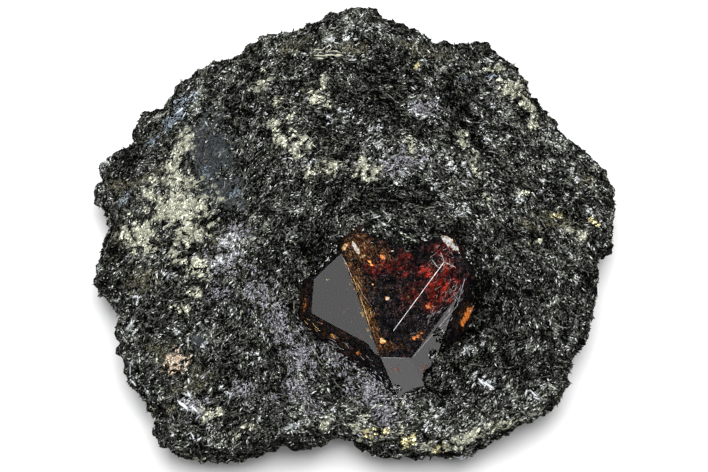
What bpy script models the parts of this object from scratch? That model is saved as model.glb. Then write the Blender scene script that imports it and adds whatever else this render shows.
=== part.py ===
"""A zircon crystal bedded in a broken piece of biotite schist, which lies on its flat cleavage.

Metres, +Z up. The origin is the middle of the piece's box, on the surface that it lies on. The
crystal stands in the upper face with its point towards -Y. All sizes below are in millimetres."""

import math

import bmesh
import bpy
from mathutils import Vector, noise

MM = 0.001
COLLECTION = "zircon_in_biotite_schist"

# The schist's section, from its upper face over the broken edge to the cleavage that it lies on.
# The shares say how much of the way from the top to the bottom each stretch takes in the mesh.
CREST = 17.6
TOP_SHARE = 0.37
FOOT_SHARE = 0.37
WAIST_SHARE = 0.45  # where down the broken edge the outline is widest
CREST_INSET = 2.4
CREST_BEND = 1.5
FOOT_INSET = 5.5
FOOT_BEND = 1.7
INSET_RAGGED = 0.5

# The underside sags below the ground plane, which trims it flat, and curls up at its rim.
FOOT_SAG = 1.3
FOOT_CURL = 3.4
FOOT_WAVE = (11.0, 1.6)
FOOT_LUMPS = 0.5

# Foliation: the broken edge steps in and out where the mica layers part.
LAYER = 3.1
LAYER_STEP = 1.3
LAYER_DIP = 0.09
LAYER_WANDER = (14.0, 2.2)
LAYER_PATCH = 7.0
LAYER_SLOPE = 0.7  # share of each step that runs out before it falls back
LAYER_PROUD = 1.2
EDGE_LUMPS = 0.8
EDGE_FADE = 4.0

# Lumps on every face, as (size, height) pairs, and knobs parted by sharp creases.
LUMPS = ((9.0, 0.8), (4.2, 0.7))
KNOBS = ((5.5, 0.9), (2.9, 0.55))
KNOB_LEVEL = 0.35

# The foliation bends round the crystal in low ribs on its right and behind it.
WRAP_CENTRE = (5.0, -9.0)
WRAP_REACH = (9.0, 26.0)
WRAP_PITCH = 2.4
WRAP_RISE = 0.22
WRAP_WANDER = (8.0, 2.0)

SEGMENTS = 28
SEAT_GAP = 0.3
BLOCK = 90.0
SLIVER = 0.02  # points nearer than this are joined after the cuts

# The piece's outline seen from above, counter-clockwise from the crest at the back.
OUTLINE = (
    (1.9, 26.2), (-0.9, 25.8), (-3.7, 24.8), (-6.5, 23.8), (-11.0, 22.9), (-11.8, 22.1),
    (-15.7, 19.9), (-20.3, 17.4), (-22.1, 15.6), (-22.9, 14.3), (-24.4, 14.2), (-25.6, 13.1),
    (-26.0, 10.8), (-27.3, 10.6), (-28.0, 9.2), (-29.2, 8.5), (-29.4, 4.3), (-28.6, 1.6),
    (-29.0, 0.3), (-29.6, -2.6), (-30.1, -5.1), (-28.6, -7.7), (-26.5, -10.0), (-27.0, -11.8),
    (-25.9, -17.0), (-22.9, -21.5), (-23.1, -23.0), (-21.4, -25.3), (-17.1, -26.3),
    (-10.5, -25.6), (-8.8, -24.6), (-5.1, -24.6), (-2.6, -23.4), (-1.0, -23.6), (2.2, -24.8),
    (5.1, -26.0), (8.2, -25.5), (11.8, -25.5), (15.8, -23.6), (20.0, -21.4), (21.8, -20.7),
    (23.2, -18.5), (24.6, -15.2), (26.2, -11.9), (27.2, -8.1), (27.4, -3.1), (29.3, -1.2),
    (29.4, 2.9), (30.1, 4.4), (29.0, 6.5), (26.6, 8.8), (23.3, 11.9), (22.9, 12.7),
    (20.9, 15.5), (19.0, 18.4), (17.1, 20.8), (15.2, 22.2), (13.7, 22.0), (12.8, 21.6),
    (9.4, 22.1), (5.8, 23.7), (3.2, 25.1),
)

# Forms of the upper face: (x, y, half length, half width, turn in degrees, rise).
FORMS = (
    (4.5, 7.5, 15.0, 4.5, -8, 2.6),  # the crest behind the crystal
    (4.0, 0.4, 8.0, 2.6, -4, 4.1),  # the schist that laps over the crystal's far edge
    (11.0, -1.2, 3.0, 2.2, -35, 1.6),
    (-8.5, -5.5, 6.0, 2.4, -52, 1.0),  # the bright ridge along the crystal's left
    (-5.5, -16.5, 5.5, 2.2, 80, 1.1),
    (4.5, -20.5, 6.0, 2.0, 0, 1.2),  # the near bank
    (11.5, -17.0, 3.5, 2.2, 40, 1.2),
    (-12.0, -1.5, 4.0, 2.6, 40, 1.3),
    (-19.5, 7.5, 6.0, 1.3, 62, 1.0),  # the pale rib
    (-20.5, 1.5, 5.0, 4.0, 20, 1.0),
    (-26.0, 9.0, 4.0, 3.0, 45, -2.0),  # the left edge falls away
    (-27.5, -1.0, 3.0, 6.0, 0, -2.4),
    (-15.5, 7.8, 3.6, 6.0, -10, -1.3),  # the smooth blue-black hollow
    (-15.7, 0.0, 2.2, 1.6, 20, -1.6),
    (-5.2, -2.6, 3.4, 1.8, 35, -0.9),
    (-1.8, -15.6, 5.2, 1.3, -40, -2.8),  # the groove along the crystal's dark foot
    (14.6, -7.6, 1.8, 4.6, -8, -2.6),  # the hollow on the crystal's right
    (20.0, -6.6, 6.5, 1.2, -14, -1.3),
    (12.2, 11.6, 4.4, 0.9, -62, -1.9),  # the cleft at the far right
    (15.5, 15.0, 4.0, 3.0, 50, 0.9),
    (20.5, -17.3, 4.0, 0.9, -18, -1.1),
    (2.8, 18.6, 3.6, 2.2, -20, -1.5),
    (-1.0, 14.6, 2.0, 2.6, 0, -1.0),
    (-4.5, 15.6, 2.0, 2.6, 10, 1.1),
    (-2.4, -23.6, 3.4, 1.8, 0, -2.2),  # the bite in the near edge
    (-12.0, -15.0, 3.5, 3.0, 0, -0.8),
    (-20.3, -15.8, 1.6, 1.1, 0, 0.6),
    (-13.5, -20.5, 2.0, 1.4, 0, -0.9),
    (22.0, -12.5, 4.0, 3.0, 0, 0.8),
    (22.0, 4.0, 4.0, 3.5, 0, 0.7),
)

# Where the schist's upper face meets the crystal, clockwise from the far left corner: (x, y, z).
SEAT_LINE = (
    (-0.4, -0.6, 20.8), (2.1, -1.5, 21.1), (4.0, -2.2, 21.3), (5.9, -3.4, 21.4),
    (7.6, -2.3, 21.3), (9.6, -1.6, 21.0), (11.4, -2.9, 20.2), (13.2, -4.8, 17.4),
    (14.5, -7.2, 15.6), (14.2, -10.6, 15.3), (12.8, -12.9, 15.8), (10.8, -14.2, 17.8),
    (9.4, -14.9, 19.8), (9.1, -16.3, 19.7), (8.3, -17.1, 20.0), (5.7, -19.1, 19.1),
    (3.9, -19.0, 18.2), (2.4, -17.9, 18.0), (0.1, -16.3, 17.4), (-3.0, -13.9, 15.8),
    (-5.0, -12.2, 14.8), (-6.5, -10.5, 14.6), (-6.6, -7.3, 15.0), (-5.2, -4.8, 16.4),
    (-2.8, -2.0, 18.4),
)
SEAT_REACH = 2.7

# The crystal's faces: (direction in degrees, tilt from level, a point that the face goes through).
POINT = (2.6, -15.7, 22.2)
CRYSTAL_FACES = {
    "front": (92, 7, POINT),
    "right_front": (1, 10, POINT),
    "left": (192, 41, POINT),
    "near": (-81, 43, POINT),
    "near_right": (-30, 45, (6.0, -15.8, 21.6)),
    "lower_right": (-24, 66, (10.6, -10.3, 20.4)),
    "right": (20, 64, (11.3, -3.3, 20.6)),
    "far_right": (58, 70, (10.4, -1.6, 20.4)),
    "far": (86, 70, (0.0, -0.7, 20.4)),
    "left_back": (149, 65, (-1.6, -3.8, 20.7)),
    "left_side": (184, 60, (-5.0, -8.3, 17.0)),
    "near_foot": (225, 70, (1.6, -15.1, 21.3)),
    "under_left": (196, 128, (-6.5, -9.0, 12.0)),
    "under_near": (282, 128, (4.0, -18.0, 12.0)),
    "under_right": (14, 128, (14.0, -8.0, 12.0)),
    "under_far": (98, 128, (4.0, 0.5, 12.0)),
    "under": (0, 180, (4.0, -9.0, 6.5)),
}
# A step is broken out of the crystal's left foot: all that lies outside both of these faces.
CRYSTAL_STEP = {
    "tread": (218, 62, (-5.0, -10.2, 16.6)),
    "riser": (209, 72, (1.2, -14.1, 21.3)),
}


def lump(point):
    """How far the lumps and knobs stand out at this point, in any direction."""
    here = Vector(point)
    rise = sum(high * noise.noise(here / size) for size, high in LUMPS)
    for size, high in KNOBS:
        rise += high * (noise.noise(here / size, noise_basis="VORONOI_F2F1") - KNOB_LEVEL)
    return rise


def outline_reach(angle):
    """Distance from the middle to the outline in this direction, by meeting its sides with a ray."""
    along = Vector((math.cos(angle), math.sin(angle)))
    reach = 0.0
    for start, end in zip(OUTLINE, OUTLINE[1:] + OUTLINE[:1]):
        a, side = Vector(start), Vector(end) - Vector(start)
        cross = along.cross(side)
        if cross and 0 <= a.cross(along) / cross <= 1:
            reach = max(reach, a.cross(side) / cross)
    return reach + LAYER_PROUD


def form_rise(x, y):
    """What the named forms add to the upper face here."""
    total = 0.0
    for centre_x, centre_y, half_length, half_width, turn, rise in FORMS:
        c, s = math.cos(math.radians(turn)), math.sin(math.radians(turn))
        u = ((x - centre_x) * c + (y - centre_y) * s) / half_length
        v = ((y - centre_y) * c - (x - centre_x) * s) / half_width
        total += rise * math.exp(-(u * u + v * v))
    return total


def wrap_rise(x, y):
    """The ribs of foliation that bend round the crystal."""
    away = math.hypot(x - WRAP_CENTRE[0], y - WRAP_CENTRE[1])
    near, far = WRAP_REACH
    if not near < away < far or x < WRAP_CENTRE[0] - near:
        return 0.0
    size, amount = WRAP_WANDER
    wander = amount * noise.noise((x / size, y / size, 3.0))
    fade = math.sin(math.pi * (away - near) / (far - near))
    return WRAP_RISE * fade * math.sin(2 * math.pi * away / WRAP_PITCH + wander)


def seat_pull(x, y):
    """How strongly the crystal's seat sets the schist's height here, and that height."""
    here = Vector((x, y))
    nearest, level = BLOCK, 0.0
    for start, end in zip(SEAT_LINE, SEAT_LINE[1:] + SEAT_LINE[:1]):
        a, side = Vector(start[:2]), Vector(end[:2]) - Vector(start[:2])
        share = max(0.0, min(1.0, (here - a).dot(side) / side.length_squared))
        away = (here - a - side * share).length
        if away < nearest:
            nearest, level = away, start[2] + (end[2] - start[2]) * share
    return math.exp(-((nearest / SEAT_REACH) ** 2)), level


def upper_height(x, y):
    free = CREST + form_rise(x, y) + wrap_rise(x, y) + lump((x, y, 40.0))
    pull, level = seat_pull(x, y)
    return free + (level - free) * pull


def lower_height(x, y, share):
    """The underside, where share is 0 at its middle and 1 at its rim."""
    size, amount = FOOT_WAVE
    wave = amount * noise.noise((x / size, y / size, 9.0))
    return -FOOT_SAG + FOOT_CURL * share**4 + wave + FOOT_LUMPS * lump((x, y, 0.0))


def ledge(x, y, z):
    """How far a layer's edge stands back at this height: a saw's teeth, level with the foliation."""
    size, amount = LAYER_WANDER
    wander = amount * noise.noise((x / size, y / size, 2 * z / size))
    turn = (z + LAYER_DIP * x + wander) / LAYER
    layer = math.floor(turn)
    tooth = min((turn - layer) / LAYER_SLOPE, (1 - turn + layer) / (1 - LAYER_SLOPE))
    depth = (1 + noise.noise((x / LAYER_PATCH, y / LAYER_PATCH, layer * 5.0))) / 2
    return LAYER_STEP * depth * tooth


def edge_inset(angle, down):
    """How far the broken edge stands in from the outline; down is 0 at its top and 1 at its foot."""
    ragged = 1 + INSET_RAGGED * noise.noise((2 * math.cos(angle), 2 * math.sin(angle), 5.0 + 3 * down))
    if down < WAIST_SHARE:
        return CREST_INSET * ragged * (1 - down / WAIST_SHARE) ** CREST_BEND
    return FOOT_INSET * ragged * ((down - WAIST_SHARE) / (1 - WAIST_SHARE)) ** FOOT_BEND


def schist_point(direction):
    """Where a point of a unit ball goes on the piece of schist."""
    angle = math.atan2(direction.y, direction.x)
    share = math.acos(max(-1.0, min(1.0, direction.z))) / math.pi
    across = Vector((math.cos(angle), math.sin(angle)))
    reach = outline_reach(angle)
    rim_top = across * (reach - edge_inset(angle, 0.0))
    rim_foot = across * (reach - edge_inset(angle, 1.0))
    if share <= TOP_SHARE:
        x, y = rim_top * (share / TOP_SHARE)
        return Vector((x, y, upper_height(x, y)))
    if share >= 1 - FOOT_SHARE:
        inward = (1 - share) / FOOT_SHARE
        x, y = rim_foot * inward
        return Vector((x, y, lower_height(x, y, inward)))
    down = (share - TOP_SHARE) / (1 - TOP_SHARE - FOOT_SHARE)
    top_z, foot_z = upper_height(*rim_top), lower_height(*rim_foot, 1.0)
    z = top_z + (foot_z - top_z) * down
    x, y = across * (reach - edge_inset(angle, down))
    off_rims = min(1.0, EDGE_FADE * down, EDGE_FADE * (1 - down))
    back = off_rims * (ledge(x, y, z) + EDGE_LUMPS * abs(lump((x, y, z))))
    x, y = across * (reach - edge_inset(angle, down) - back)
    return Vector((x, y, z))


def finished_mesh(name, shape):
    """A bmesh in millimetres as a mesh in metres."""
    for vertex in shape.verts:
        vertex.co *= MM
    mesh = bpy.data.meshes.new(name)
    shape.to_mesh(mesh)
    shape.free()
    return mesh


def schist_mesh():
    """A cube with a grid on each side, blown out to a ball and then laid over the piece's form."""
    shape = bmesh.new()
    bmesh.ops.create_cube(shape, size=2.0)
    bmesh.ops.subdivide_edges(shape, edges=shape.edges[:], cuts=SEGMENTS - 1, use_grid_fill=True)
    for vertex in shape.verts:
        evened = Vector([math.tan(v * math.pi / 4) for v in vertex.co])
        vertex.co = schist_point(evened.normalized())
    bmesh.ops.triangulate(shape, faces=shape.faces[:])
    return finished_mesh("biotite_schist", shape)


def ground_mesh():
    """The block under the ground plane, which trims the cleavage flat."""
    shape = bmesh.new()
    bmesh.ops.create_cube(shape, size=BLOCK)
    bmesh.ops.translate(shape, verts=shape.verts[:], vec=(0.0, 0.0, -BLOCK / 2))
    return finished_mesh("ground", shape)


def cut_block(name, faces, outside, grown):
    """A block cut by each face's plane in turn, moved out by grown; it keeps one side of them all."""
    shape = bmesh.new()
    bmesh.ops.create_cube(shape, size=BLOCK)
    for direction, tilt, through in faces.values():
        d, t = math.radians(direction), math.radians(tilt)
        normal = Vector((math.sin(t) * math.cos(d), math.sin(t) * math.sin(d), math.cos(t)))
        cut = bmesh.ops.bisect_plane(
            shape,
            geom=shape.verts[:] + shape.edges[:] + shape.faces[:],
            dist=1e-5,
            plane_co=Vector(through) + normal * grown,
            plane_no=normal,
            clear_outer=not outside,
            clear_inner=outside,
        )
        rim = [piece for piece in cut["geom_cut"] if isinstance(piece, bmesh.types.BMEdge)]
        bmesh.ops.edgeloop_fill(shape, edges=rim)
    bmesh.ops.recalc_face_normals(shape, faces=shape.faces[:])
    return finished_mesh(name, shape)


def plain_material(name, colour, roughness):
    material = bpy.data.materials.new(name)
    material.use_nodes = True
    shader = material.node_tree.nodes["Principled BSDF"]
    shader.inputs["Base Color"].default_value = (*colour, 1.0)
    shader.inputs["Roughness"].default_value = roughness
    shader.inputs["Metallic"].default_value = 0.0
    return material


def add_object(mesh, collection):
    made = bpy.data.objects.new(mesh.name, mesh)
    collection.objects.link(made)
    return made


def cut_away(target, cutter):
    """Takes the cutter's shape out of the target."""
    cutter.hide_render = True
    cutter.display_type = "WIRE"
    boolean = target.modifiers.new(cutter.name, "BOOLEAN")
    boolean.operation = "DIFFERENCE"
    boolean.solver = "EXACT"
    boolean.object = cutter


def weld_slivers(target):
    """Joins the points that the cuts leave almost on top of each other."""
    weld = target.modifiers.new("slivers", "WELD")
    weld.merge_threshold = SLIVER * MM


def centre_on_box(objects, measured):
    """Moves everything so that the origin is the middle of the measured object's box."""
    corners = [vertex.co for vertex in measured.data.vertices]
    middle = [(min(c[i] for c in corners) + max(c[i] for c in corners)) / 2 for i in (0, 1)]
    for made in objects:
        made.location = (-middle[0], -middle[1], 0.0)


def main():
    for old in list(bpy.data.objects):
        bpy.data.objects.remove(old)
    part = bpy.data.collections.new(COLLECTION)
    cutters = bpy.data.collections.new("cutters")
    for collection in (part, cutters):
        bpy.context.scene.collection.children.link(collection)

    schist = add_object(schist_mesh(), part)
    schist.data.materials.append(plain_material("biotite_schist", (0.035, 0.036, 0.036), 0.45))
    crystal = add_object(cut_block("zircon_crystal", CRYSTAL_FACES, False, 0.0), part)
    crystal.data.materials.append(plain_material("zircon", (0.13, 0.02, 0.012), 0.12))

    ground = add_object(ground_mesh(), cutters)
    step = add_object(cut_block("step", CRYSTAL_STEP, True, 0.0), cutters)
    seat = add_object(cut_block("seat", CRYSTAL_FACES, False, SEAT_GAP), cutters)
    seat_step = add_object(cut_block("seat_step", CRYSTAL_STEP, True, SEAT_GAP), cutters)
    cut_away(crystal, step)
    cut_away(seat, seat_step)
    cut_away(schist, ground)
    cut_away(schist, seat)
    weld_slivers(schist)
    centre_on_box((schist, crystal, ground, step, seat, seat_step), schist)


main()
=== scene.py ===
"""Looks of a dark red zircon crystal bedded in a piece of biotite schist.

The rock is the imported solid, made finer and covered with small flakes of mica that lie along its
foliation. The crystal is clear, dark red and glassy on its side faces, and etched and cracked on top.
Places are in millimetres in the frame's own axes, and MM turns them into metres.
"""

import math

import bmesh
import bpy
import numpy as np
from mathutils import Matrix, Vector, noise
from mathutils.bvhtree import BVHTree


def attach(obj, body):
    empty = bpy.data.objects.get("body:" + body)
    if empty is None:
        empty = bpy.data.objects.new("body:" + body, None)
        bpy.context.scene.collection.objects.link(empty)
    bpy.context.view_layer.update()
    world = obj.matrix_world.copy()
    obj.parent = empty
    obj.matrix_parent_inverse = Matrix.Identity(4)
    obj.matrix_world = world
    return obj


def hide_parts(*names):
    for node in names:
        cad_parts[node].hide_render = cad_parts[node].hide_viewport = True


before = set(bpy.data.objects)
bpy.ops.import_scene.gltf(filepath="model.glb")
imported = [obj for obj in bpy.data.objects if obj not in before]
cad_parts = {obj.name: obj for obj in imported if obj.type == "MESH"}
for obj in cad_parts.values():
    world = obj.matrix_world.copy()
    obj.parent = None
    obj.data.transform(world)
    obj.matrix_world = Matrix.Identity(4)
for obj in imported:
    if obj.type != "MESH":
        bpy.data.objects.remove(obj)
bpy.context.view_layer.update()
bpy.ops.object.select_all(action="DESELECT")

MM = 0.001
ROCK_NODE = "biotite_schist"
CRYSTAL_NODE = "zircon_crystal"
CRYSTAL_MIDDLE = (5.0, -9.0)     # the crystal's middle in plan
CRYSTAL_REACH = 14.0             # the rock is closed up to the crystal within this of its middle
RIM = 14.0                       # about the height where the rock's upper face turns into its sides
ABOVE = 40.0                     # a height above all of the piece, from which rays go straight down
VOXEL = 0.36                     # the rock's mesh size
SEAM = 0.03                      # how far the rock stays off the crystal's faces
SEAM_REACH = 0.7                 # rock that is nearer than this to those faces closes up to them
SOFT_EDGE = 0.13                 # how wide the crystal's edges are softened
ETCH_STEP = 0.22                 # the mesh size on the crystal's etched faces
VEIL_SIDES = 6                   # how many sides a crack inside the crystal has
VEIL_DEPTH = 0.04                # how thick a crack inside the crystal is at its middle
FLAKES_A_PIECE = 33000           # the most flakes in one piece
LAP_CRUMBS = 130                 # crumbs in a lap, times its half length, times its half width
WRAP_RADIUS = 12.0               # the foliation wraps the crystal about this far from its middle
WRAP_WIDTH = 5.0                 # how wide the band is in which it does
HAIRS = 1400                     # how many edges of mica, thin as hairs, are tried; some miss the rock
HAIR_LENGTH = 1.6                # the length of the longest
HAIR_SPREAD = 25                 # how far at most they turn off the foliation, in degrees
HAIR_WIDTH = 0.09                # about the width of the widest
HAIR_REACH = (29, 26)            # how far out they are tried, along X and along Y
HAIRS_CLEAR = 9.5                # and how far at least from the crystal's middle
ROD_STEP = 0.3                   # the least distance between two rings of a long rod
ROD_ROOT = 0.08                  # how deep a rod goes below the face it lies on
SEED = 7
MAP_NAME = "OFBake"              # the name of the flat maps: every piece but the crystal has one
TOP_ON_MAP = (0.32, 0.68, 0.62)  # the middle of the rock's top on its flat map, and its scale
BASE_ON_MAP = (0.82, 0.68, 0.33) # the same for its base
MAP_REACH = 64                   # the size, in mm, that those scales stand for
SIDE_HEIGHT = 18                 # the height of the sides that the map's lower part holds

# Where rock laps over the crystal: x, y, half length, half width, turn in degrees.
LAPS = ((5.0, -2.1, 1.7, 0.55, -28), (6.4, -3.1, 0.75, 0.9, 0), (8.0, -2.3, 1.5, 0.45, 20),
        (9.7, -13.4, 1.1, 0.55, -72), (9.0, -15.5, 0.9, 0.6, -60), (4.5, -19.3, 0.85, 0.5, 45),
        (-3.3, -4.3, 3.0, 0.65, 43), (2.4, -17.3, 2.0, 0.6, -37), (13.9, -5.7, 3.0, 0.6, -60),
        (14.1, -10.2, 3.4, 0.5, 72), (13.7, -8.1, 2.4, 0.7, 86))

# Stains and pale crusts on the crystal's faces: x, y, half length, half width, turn, cover, and
# the colour, from 0, rust brown, over orange and gold to 1, white. The orange and gold spots at 12.7, -10.5,
# 3.2, -14.1, 1.9, -5.2, 3.3, -4.6 and 7.1, -13.5 are painted glints of light thrown back by cracks inside.
STAINS_AND_GLINTS = (
    (-1.0, -3.4, 0.5, 0.3, 60, 0.9, 0.75), (3.2, -14.1, 0.38, 0.3, 0, 0.95, 0.7),
    (0.35, -3.5, 0.95, 0.26, -66, 0.95, 1.0), (1.0, -4.5, 0.45, 0.18, 40, 0.8, 0.9),
    (10.7, -2.9, 1.3, 0.38, -42, 0.78, 1.0), (-2.2, -12.9, 0.5, 0.2, -35, 0.6, 0.6),
    (0.6, -15.0, 0.5, 0.2, -35, 0.55, 0.4), (12.7, -10.5, 1.4, 0.30, 62, 0.95, 0.45),
    (3.8, -9.3, 0.26, 0.2, 30, 0.95, 1.0), (2.2, -7.6, 0.18, 0.12, 30, 0.9, 0.8),
    (1.9, -5.2, 0.45, 0.16, -55, 0.9, 0.55), (3.3, -4.6, 0.5, 0.2, -40, 0.75, 0.4),
    (7.1, -13.5, 0.6, 0.2, 30, 0.75, 0.4), (8.4, -10.2, 0.45, 0.2, 20, 0.75, 0.4),
    (-2.8, -6.7, 0.25, 0.13, 0, 0.62, 0.95), (-5.4, -8.9, 0.9, 0.15, 80, 0.6, 0.4),
    (4.6, -17.1, 0.9, 0.35, 10, 0.55, 0.0), (7.8, -16.7, 0.7, 0.45, 40, 0.6, 0.0),
)

# Where the crystal's dull skin is rusty, and where it is painted red with the glow of light thrown back from
# inside: x, y, half length, half width, turn in degrees, strength.
RUST = (
    (0.2, -2.7, 1.3, 0.9, -20, 0.95), (0.8, -3.4, 2.6, 1.7, -35, 0.78), (3.0, -3.9, 2.0, 1.1, -25, 0.55),
    (0.3, -7.2, 3.2, 0.8, -68, 0.85), (1.6, -6.8, 2.2, 0.9, -60, 0.35),
    (1.7, -11.4, 3.8, 0.75, -71, 0.95), (3.4, -14.6, 1.4, 0.6, -5, 0.75), (5.4, -14.8, 1.2, 0.4, 0, 0.4),
    (7.2, -13.5, 1.4, 0.6, 35, 0.5), (-2.0, -13.0, 4.4, 1.4, -37, 0.27), (-5.6, -8.8, 2.2, 1.0, 85, 0.42),
    (12.4, -10.6, 2.2, 0.9, 60, 0.5), (4.5, -9.0, 5.0, 4.0, 0, 0.16),
)
PAINTED_GLOW = (
    (9.5, -8.1, 1.5, 1.1, 60, 1.0), (8.2, -6.2, 1.2, 0.8, 10, 0.85), (4.4, -5.6, 2.6, 1.0, -15, 0.48),
    (10.6, -5.8, 1.7, 0.9, -60, 0.62), (8.6, -10.2, 0.9, 0.7, 0, 0.75), (9.6, -3.7, 2.0, 0.9, 0, 0.34),
    (5.9, -4.6, 1.5, 0.7, -20, 0.40), (0.9, -3.2, 1.8, 1.2, -35, 0.35), (7.8, -16.4, 0.6, 0.4, 30, 0.5),
    (11.3, -8.2, 2.4, 0.8, 60, 0.42), (7.0, -8.4, 2.4, 1.0, 55, 0.36), (2.3, -5.7, 1.7, 1.0, -40, 0.45),
)

# Cracks and glints inside the crystal: x, y, reach, number, size, least and most depth, colour.
VEIL_COLOURS = {"red": (0.95, 0.06, 0.02), "orange": (1.0, 0.30, 0.03), "gold": (1.0, 0.60, 0.16),
                "brown": (0.40, 0.11, 0.02)}
VEILS = (
    (9.3, -8.1, 1.5, 34, 0.55, 0.25, 0.9, "red"), (8.2, -6.3, 0.9, 14, 0.45, 0.3, 0.9, "red"),
    (8.6, -10.0, 0.8, 12, 0.45, 0.15, 0.5, "orange"), (7.1, -13.6, 1.2, 14, 0.4, 0.15, 0.5, "orange"),
    (2.1, -5.2, 1.0, 14, 0.35, 0.08, 0.3, "gold"), (3.3, -4.8, 1.1, 14, 0.4, 0.1, 0.4, "orange"),
    (4.5, -6.0, 1.8, 18, 0.45, 0.3, 0.9, "red"), (1.0, -9.5, 2.6, 26, 0.35, 0.1, 0.4, "gold"),
    (1.5, -11.5, 2.2, 18, 0.4, 0.2, 0.6, "orange"), (3.2, -14.1, 0.5, 5, 0.3, 0.05, 0.2, "gold"),
    (0.8, -3.6, 1.8, 26, 0.4, 0.15, 0.7, "brown"), (10.8, -6.5, 1.4, 16, 0.5, 0.3, 1.0, "red"),
    (5.0, -9.0, 4.5, 40, 0.45, 0.5, 1.6, "brown"), (12.5, -10.6, 0.75, 14, 0.5, 0.06, 0.25, "orange"),
    (-2.2, -12.9, 1.0, 8, 0.3, 0.1, 0.3, "gold"), (-5.6, -8.6, 1.2, 8, 0.3, 0.1, 0.4, "brown"),
)

# Where the etched faces are roughest: x, y, half length, half width, turn in degrees.
ROUGH = ((1.0, -9.5, 4.3, 0.8, -72), (1.2, -3.8, 2.5, 1.4, -20), (10.0, -4.2, 2.1, 1.3, -10),
         (10.9, -9.5, 3.2, 0.7, 58), (7.2, -13.8, 1.8, 0.5, 38), (3.6, -14.8, 1.8, 0.4, -5))

# Long cracks on the crystal's top: points in plan, the width and the colour; and fields of short ones:
# x, y, reach, number, length, turn, spread, width, colour. The long white crack from 4.4, -13.0 to 10.1, -5.1
# is a crack and a painted highlight on the ridge between two faces, and the two long grey ones are painted
# highlights along the crystal's edges.
CRACK_COLOURS = {"white": (0.84, 0.82, 0.80), "gold": (0.85, 0.55, 0.20), "pink": (0.60, 0.44, 0.41),
                 "grey": (0.40, 0.39, 0.40), "orange": (0.70, 0.22, 0.04)}
CRACKS_AND_EDGE_HIGHLIGHTS = (
    (((4.4, -13.0), (10.1, -5.1)), 0.10, "white"), (((9.6, -5.7), (10.1, -5.1), (9.7, -4.0)), 0.06, "white"),
    (((10.1, -5.1), (10.9, -5.5), (11.4, -5.7)), 0.06, "white"),
    (((8.7, -4.8), (9.2, -5.5), (9.6, -5.9)), 0.055, "white"),
    (((-1.1, -4.6), (-0.6, -5.6), (-0.1, -6.9)), 0.07, "pink"), (((0.0, -6.8), (0.5, -8.3)), 0.06, "gold"),
    (((0.7, -8.9), (1.3, -10.6), (1.8, -12.3)), 0.10, "gold"),
    (((0.4, -7.3), (1.1, -8.9), (1.5, -9.4)), 0.05, "pink"),
    (((3.2, -15.95), (6.4, -15.95)), 0.05, "grey"),
    (((6.6, -15.8), (11.5, -9.9), (12.4, -6.8)), 0.055, "grey"),
)
CRACK_FIELDS = (
    (9.8, -4.7, 1.5, 50, 0.7, 30, 90, 0.05, "pink"), (11.2, -8.6, 1.0, 30, 0.9, 58, 18, 0.055, "grey"),
    (9.6, -11.4, 1.4, 40, 0.9, 54, 22, 0.055, "grey"), (10.2, -8.2, 1.5, 34, 0.6, 40, 60, 0.045, "pink"),
    (8.3, -6.4, 1.1, 16, 0.5, 40, 80, 0.04, "pink"), (0.5, -7.6, 0.9, 20, 0.6, -68, 22, 0.05, "gold"),
    (1.6, -10.6, 0.9, 24, 0.7, -72, 20, 0.05, "gold"), (2.2, -13.0, 0.7, 12, 0.5, -75, 25, 0.05, "gold"),
    (-0.3, -5.0, 0.8, 12, 0.5, -60, 40, 0.05, "gold"), (0.8, -3.3, 1.5, 22, 0.45, -30, 70, 0.045, "pink"),
    (2.3, -5.2, 1.0, 12, 0.5, -50, 30, 0.06, "orange"), (3.4, -4.6, 1.0, 12, 0.45, -40, 40, 0.06, "orange"),
    (4.8, -8.6, 3.2, 26, 0.4, 50, 90, 0.035, "grey"), (7.4, -12.4, 1.5, 16, 0.5, 50, 40, 0.04, "grey"),
    (3.6, -14.5, 1.4, 10, 0.4, 0, 40, 0.04, "orange"), (-1.6, -13.7, 1.1, 14, 1.0, -35, 15, 0.045, "grey"),
    (1.1, -16.3, 1.1, 14, 1.0, -35, 15, 0.05, "grey"), (-4.5, -11.4, 0.9, 8, 0.8, -35, 20, 0.05, "gold"),
)
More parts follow.
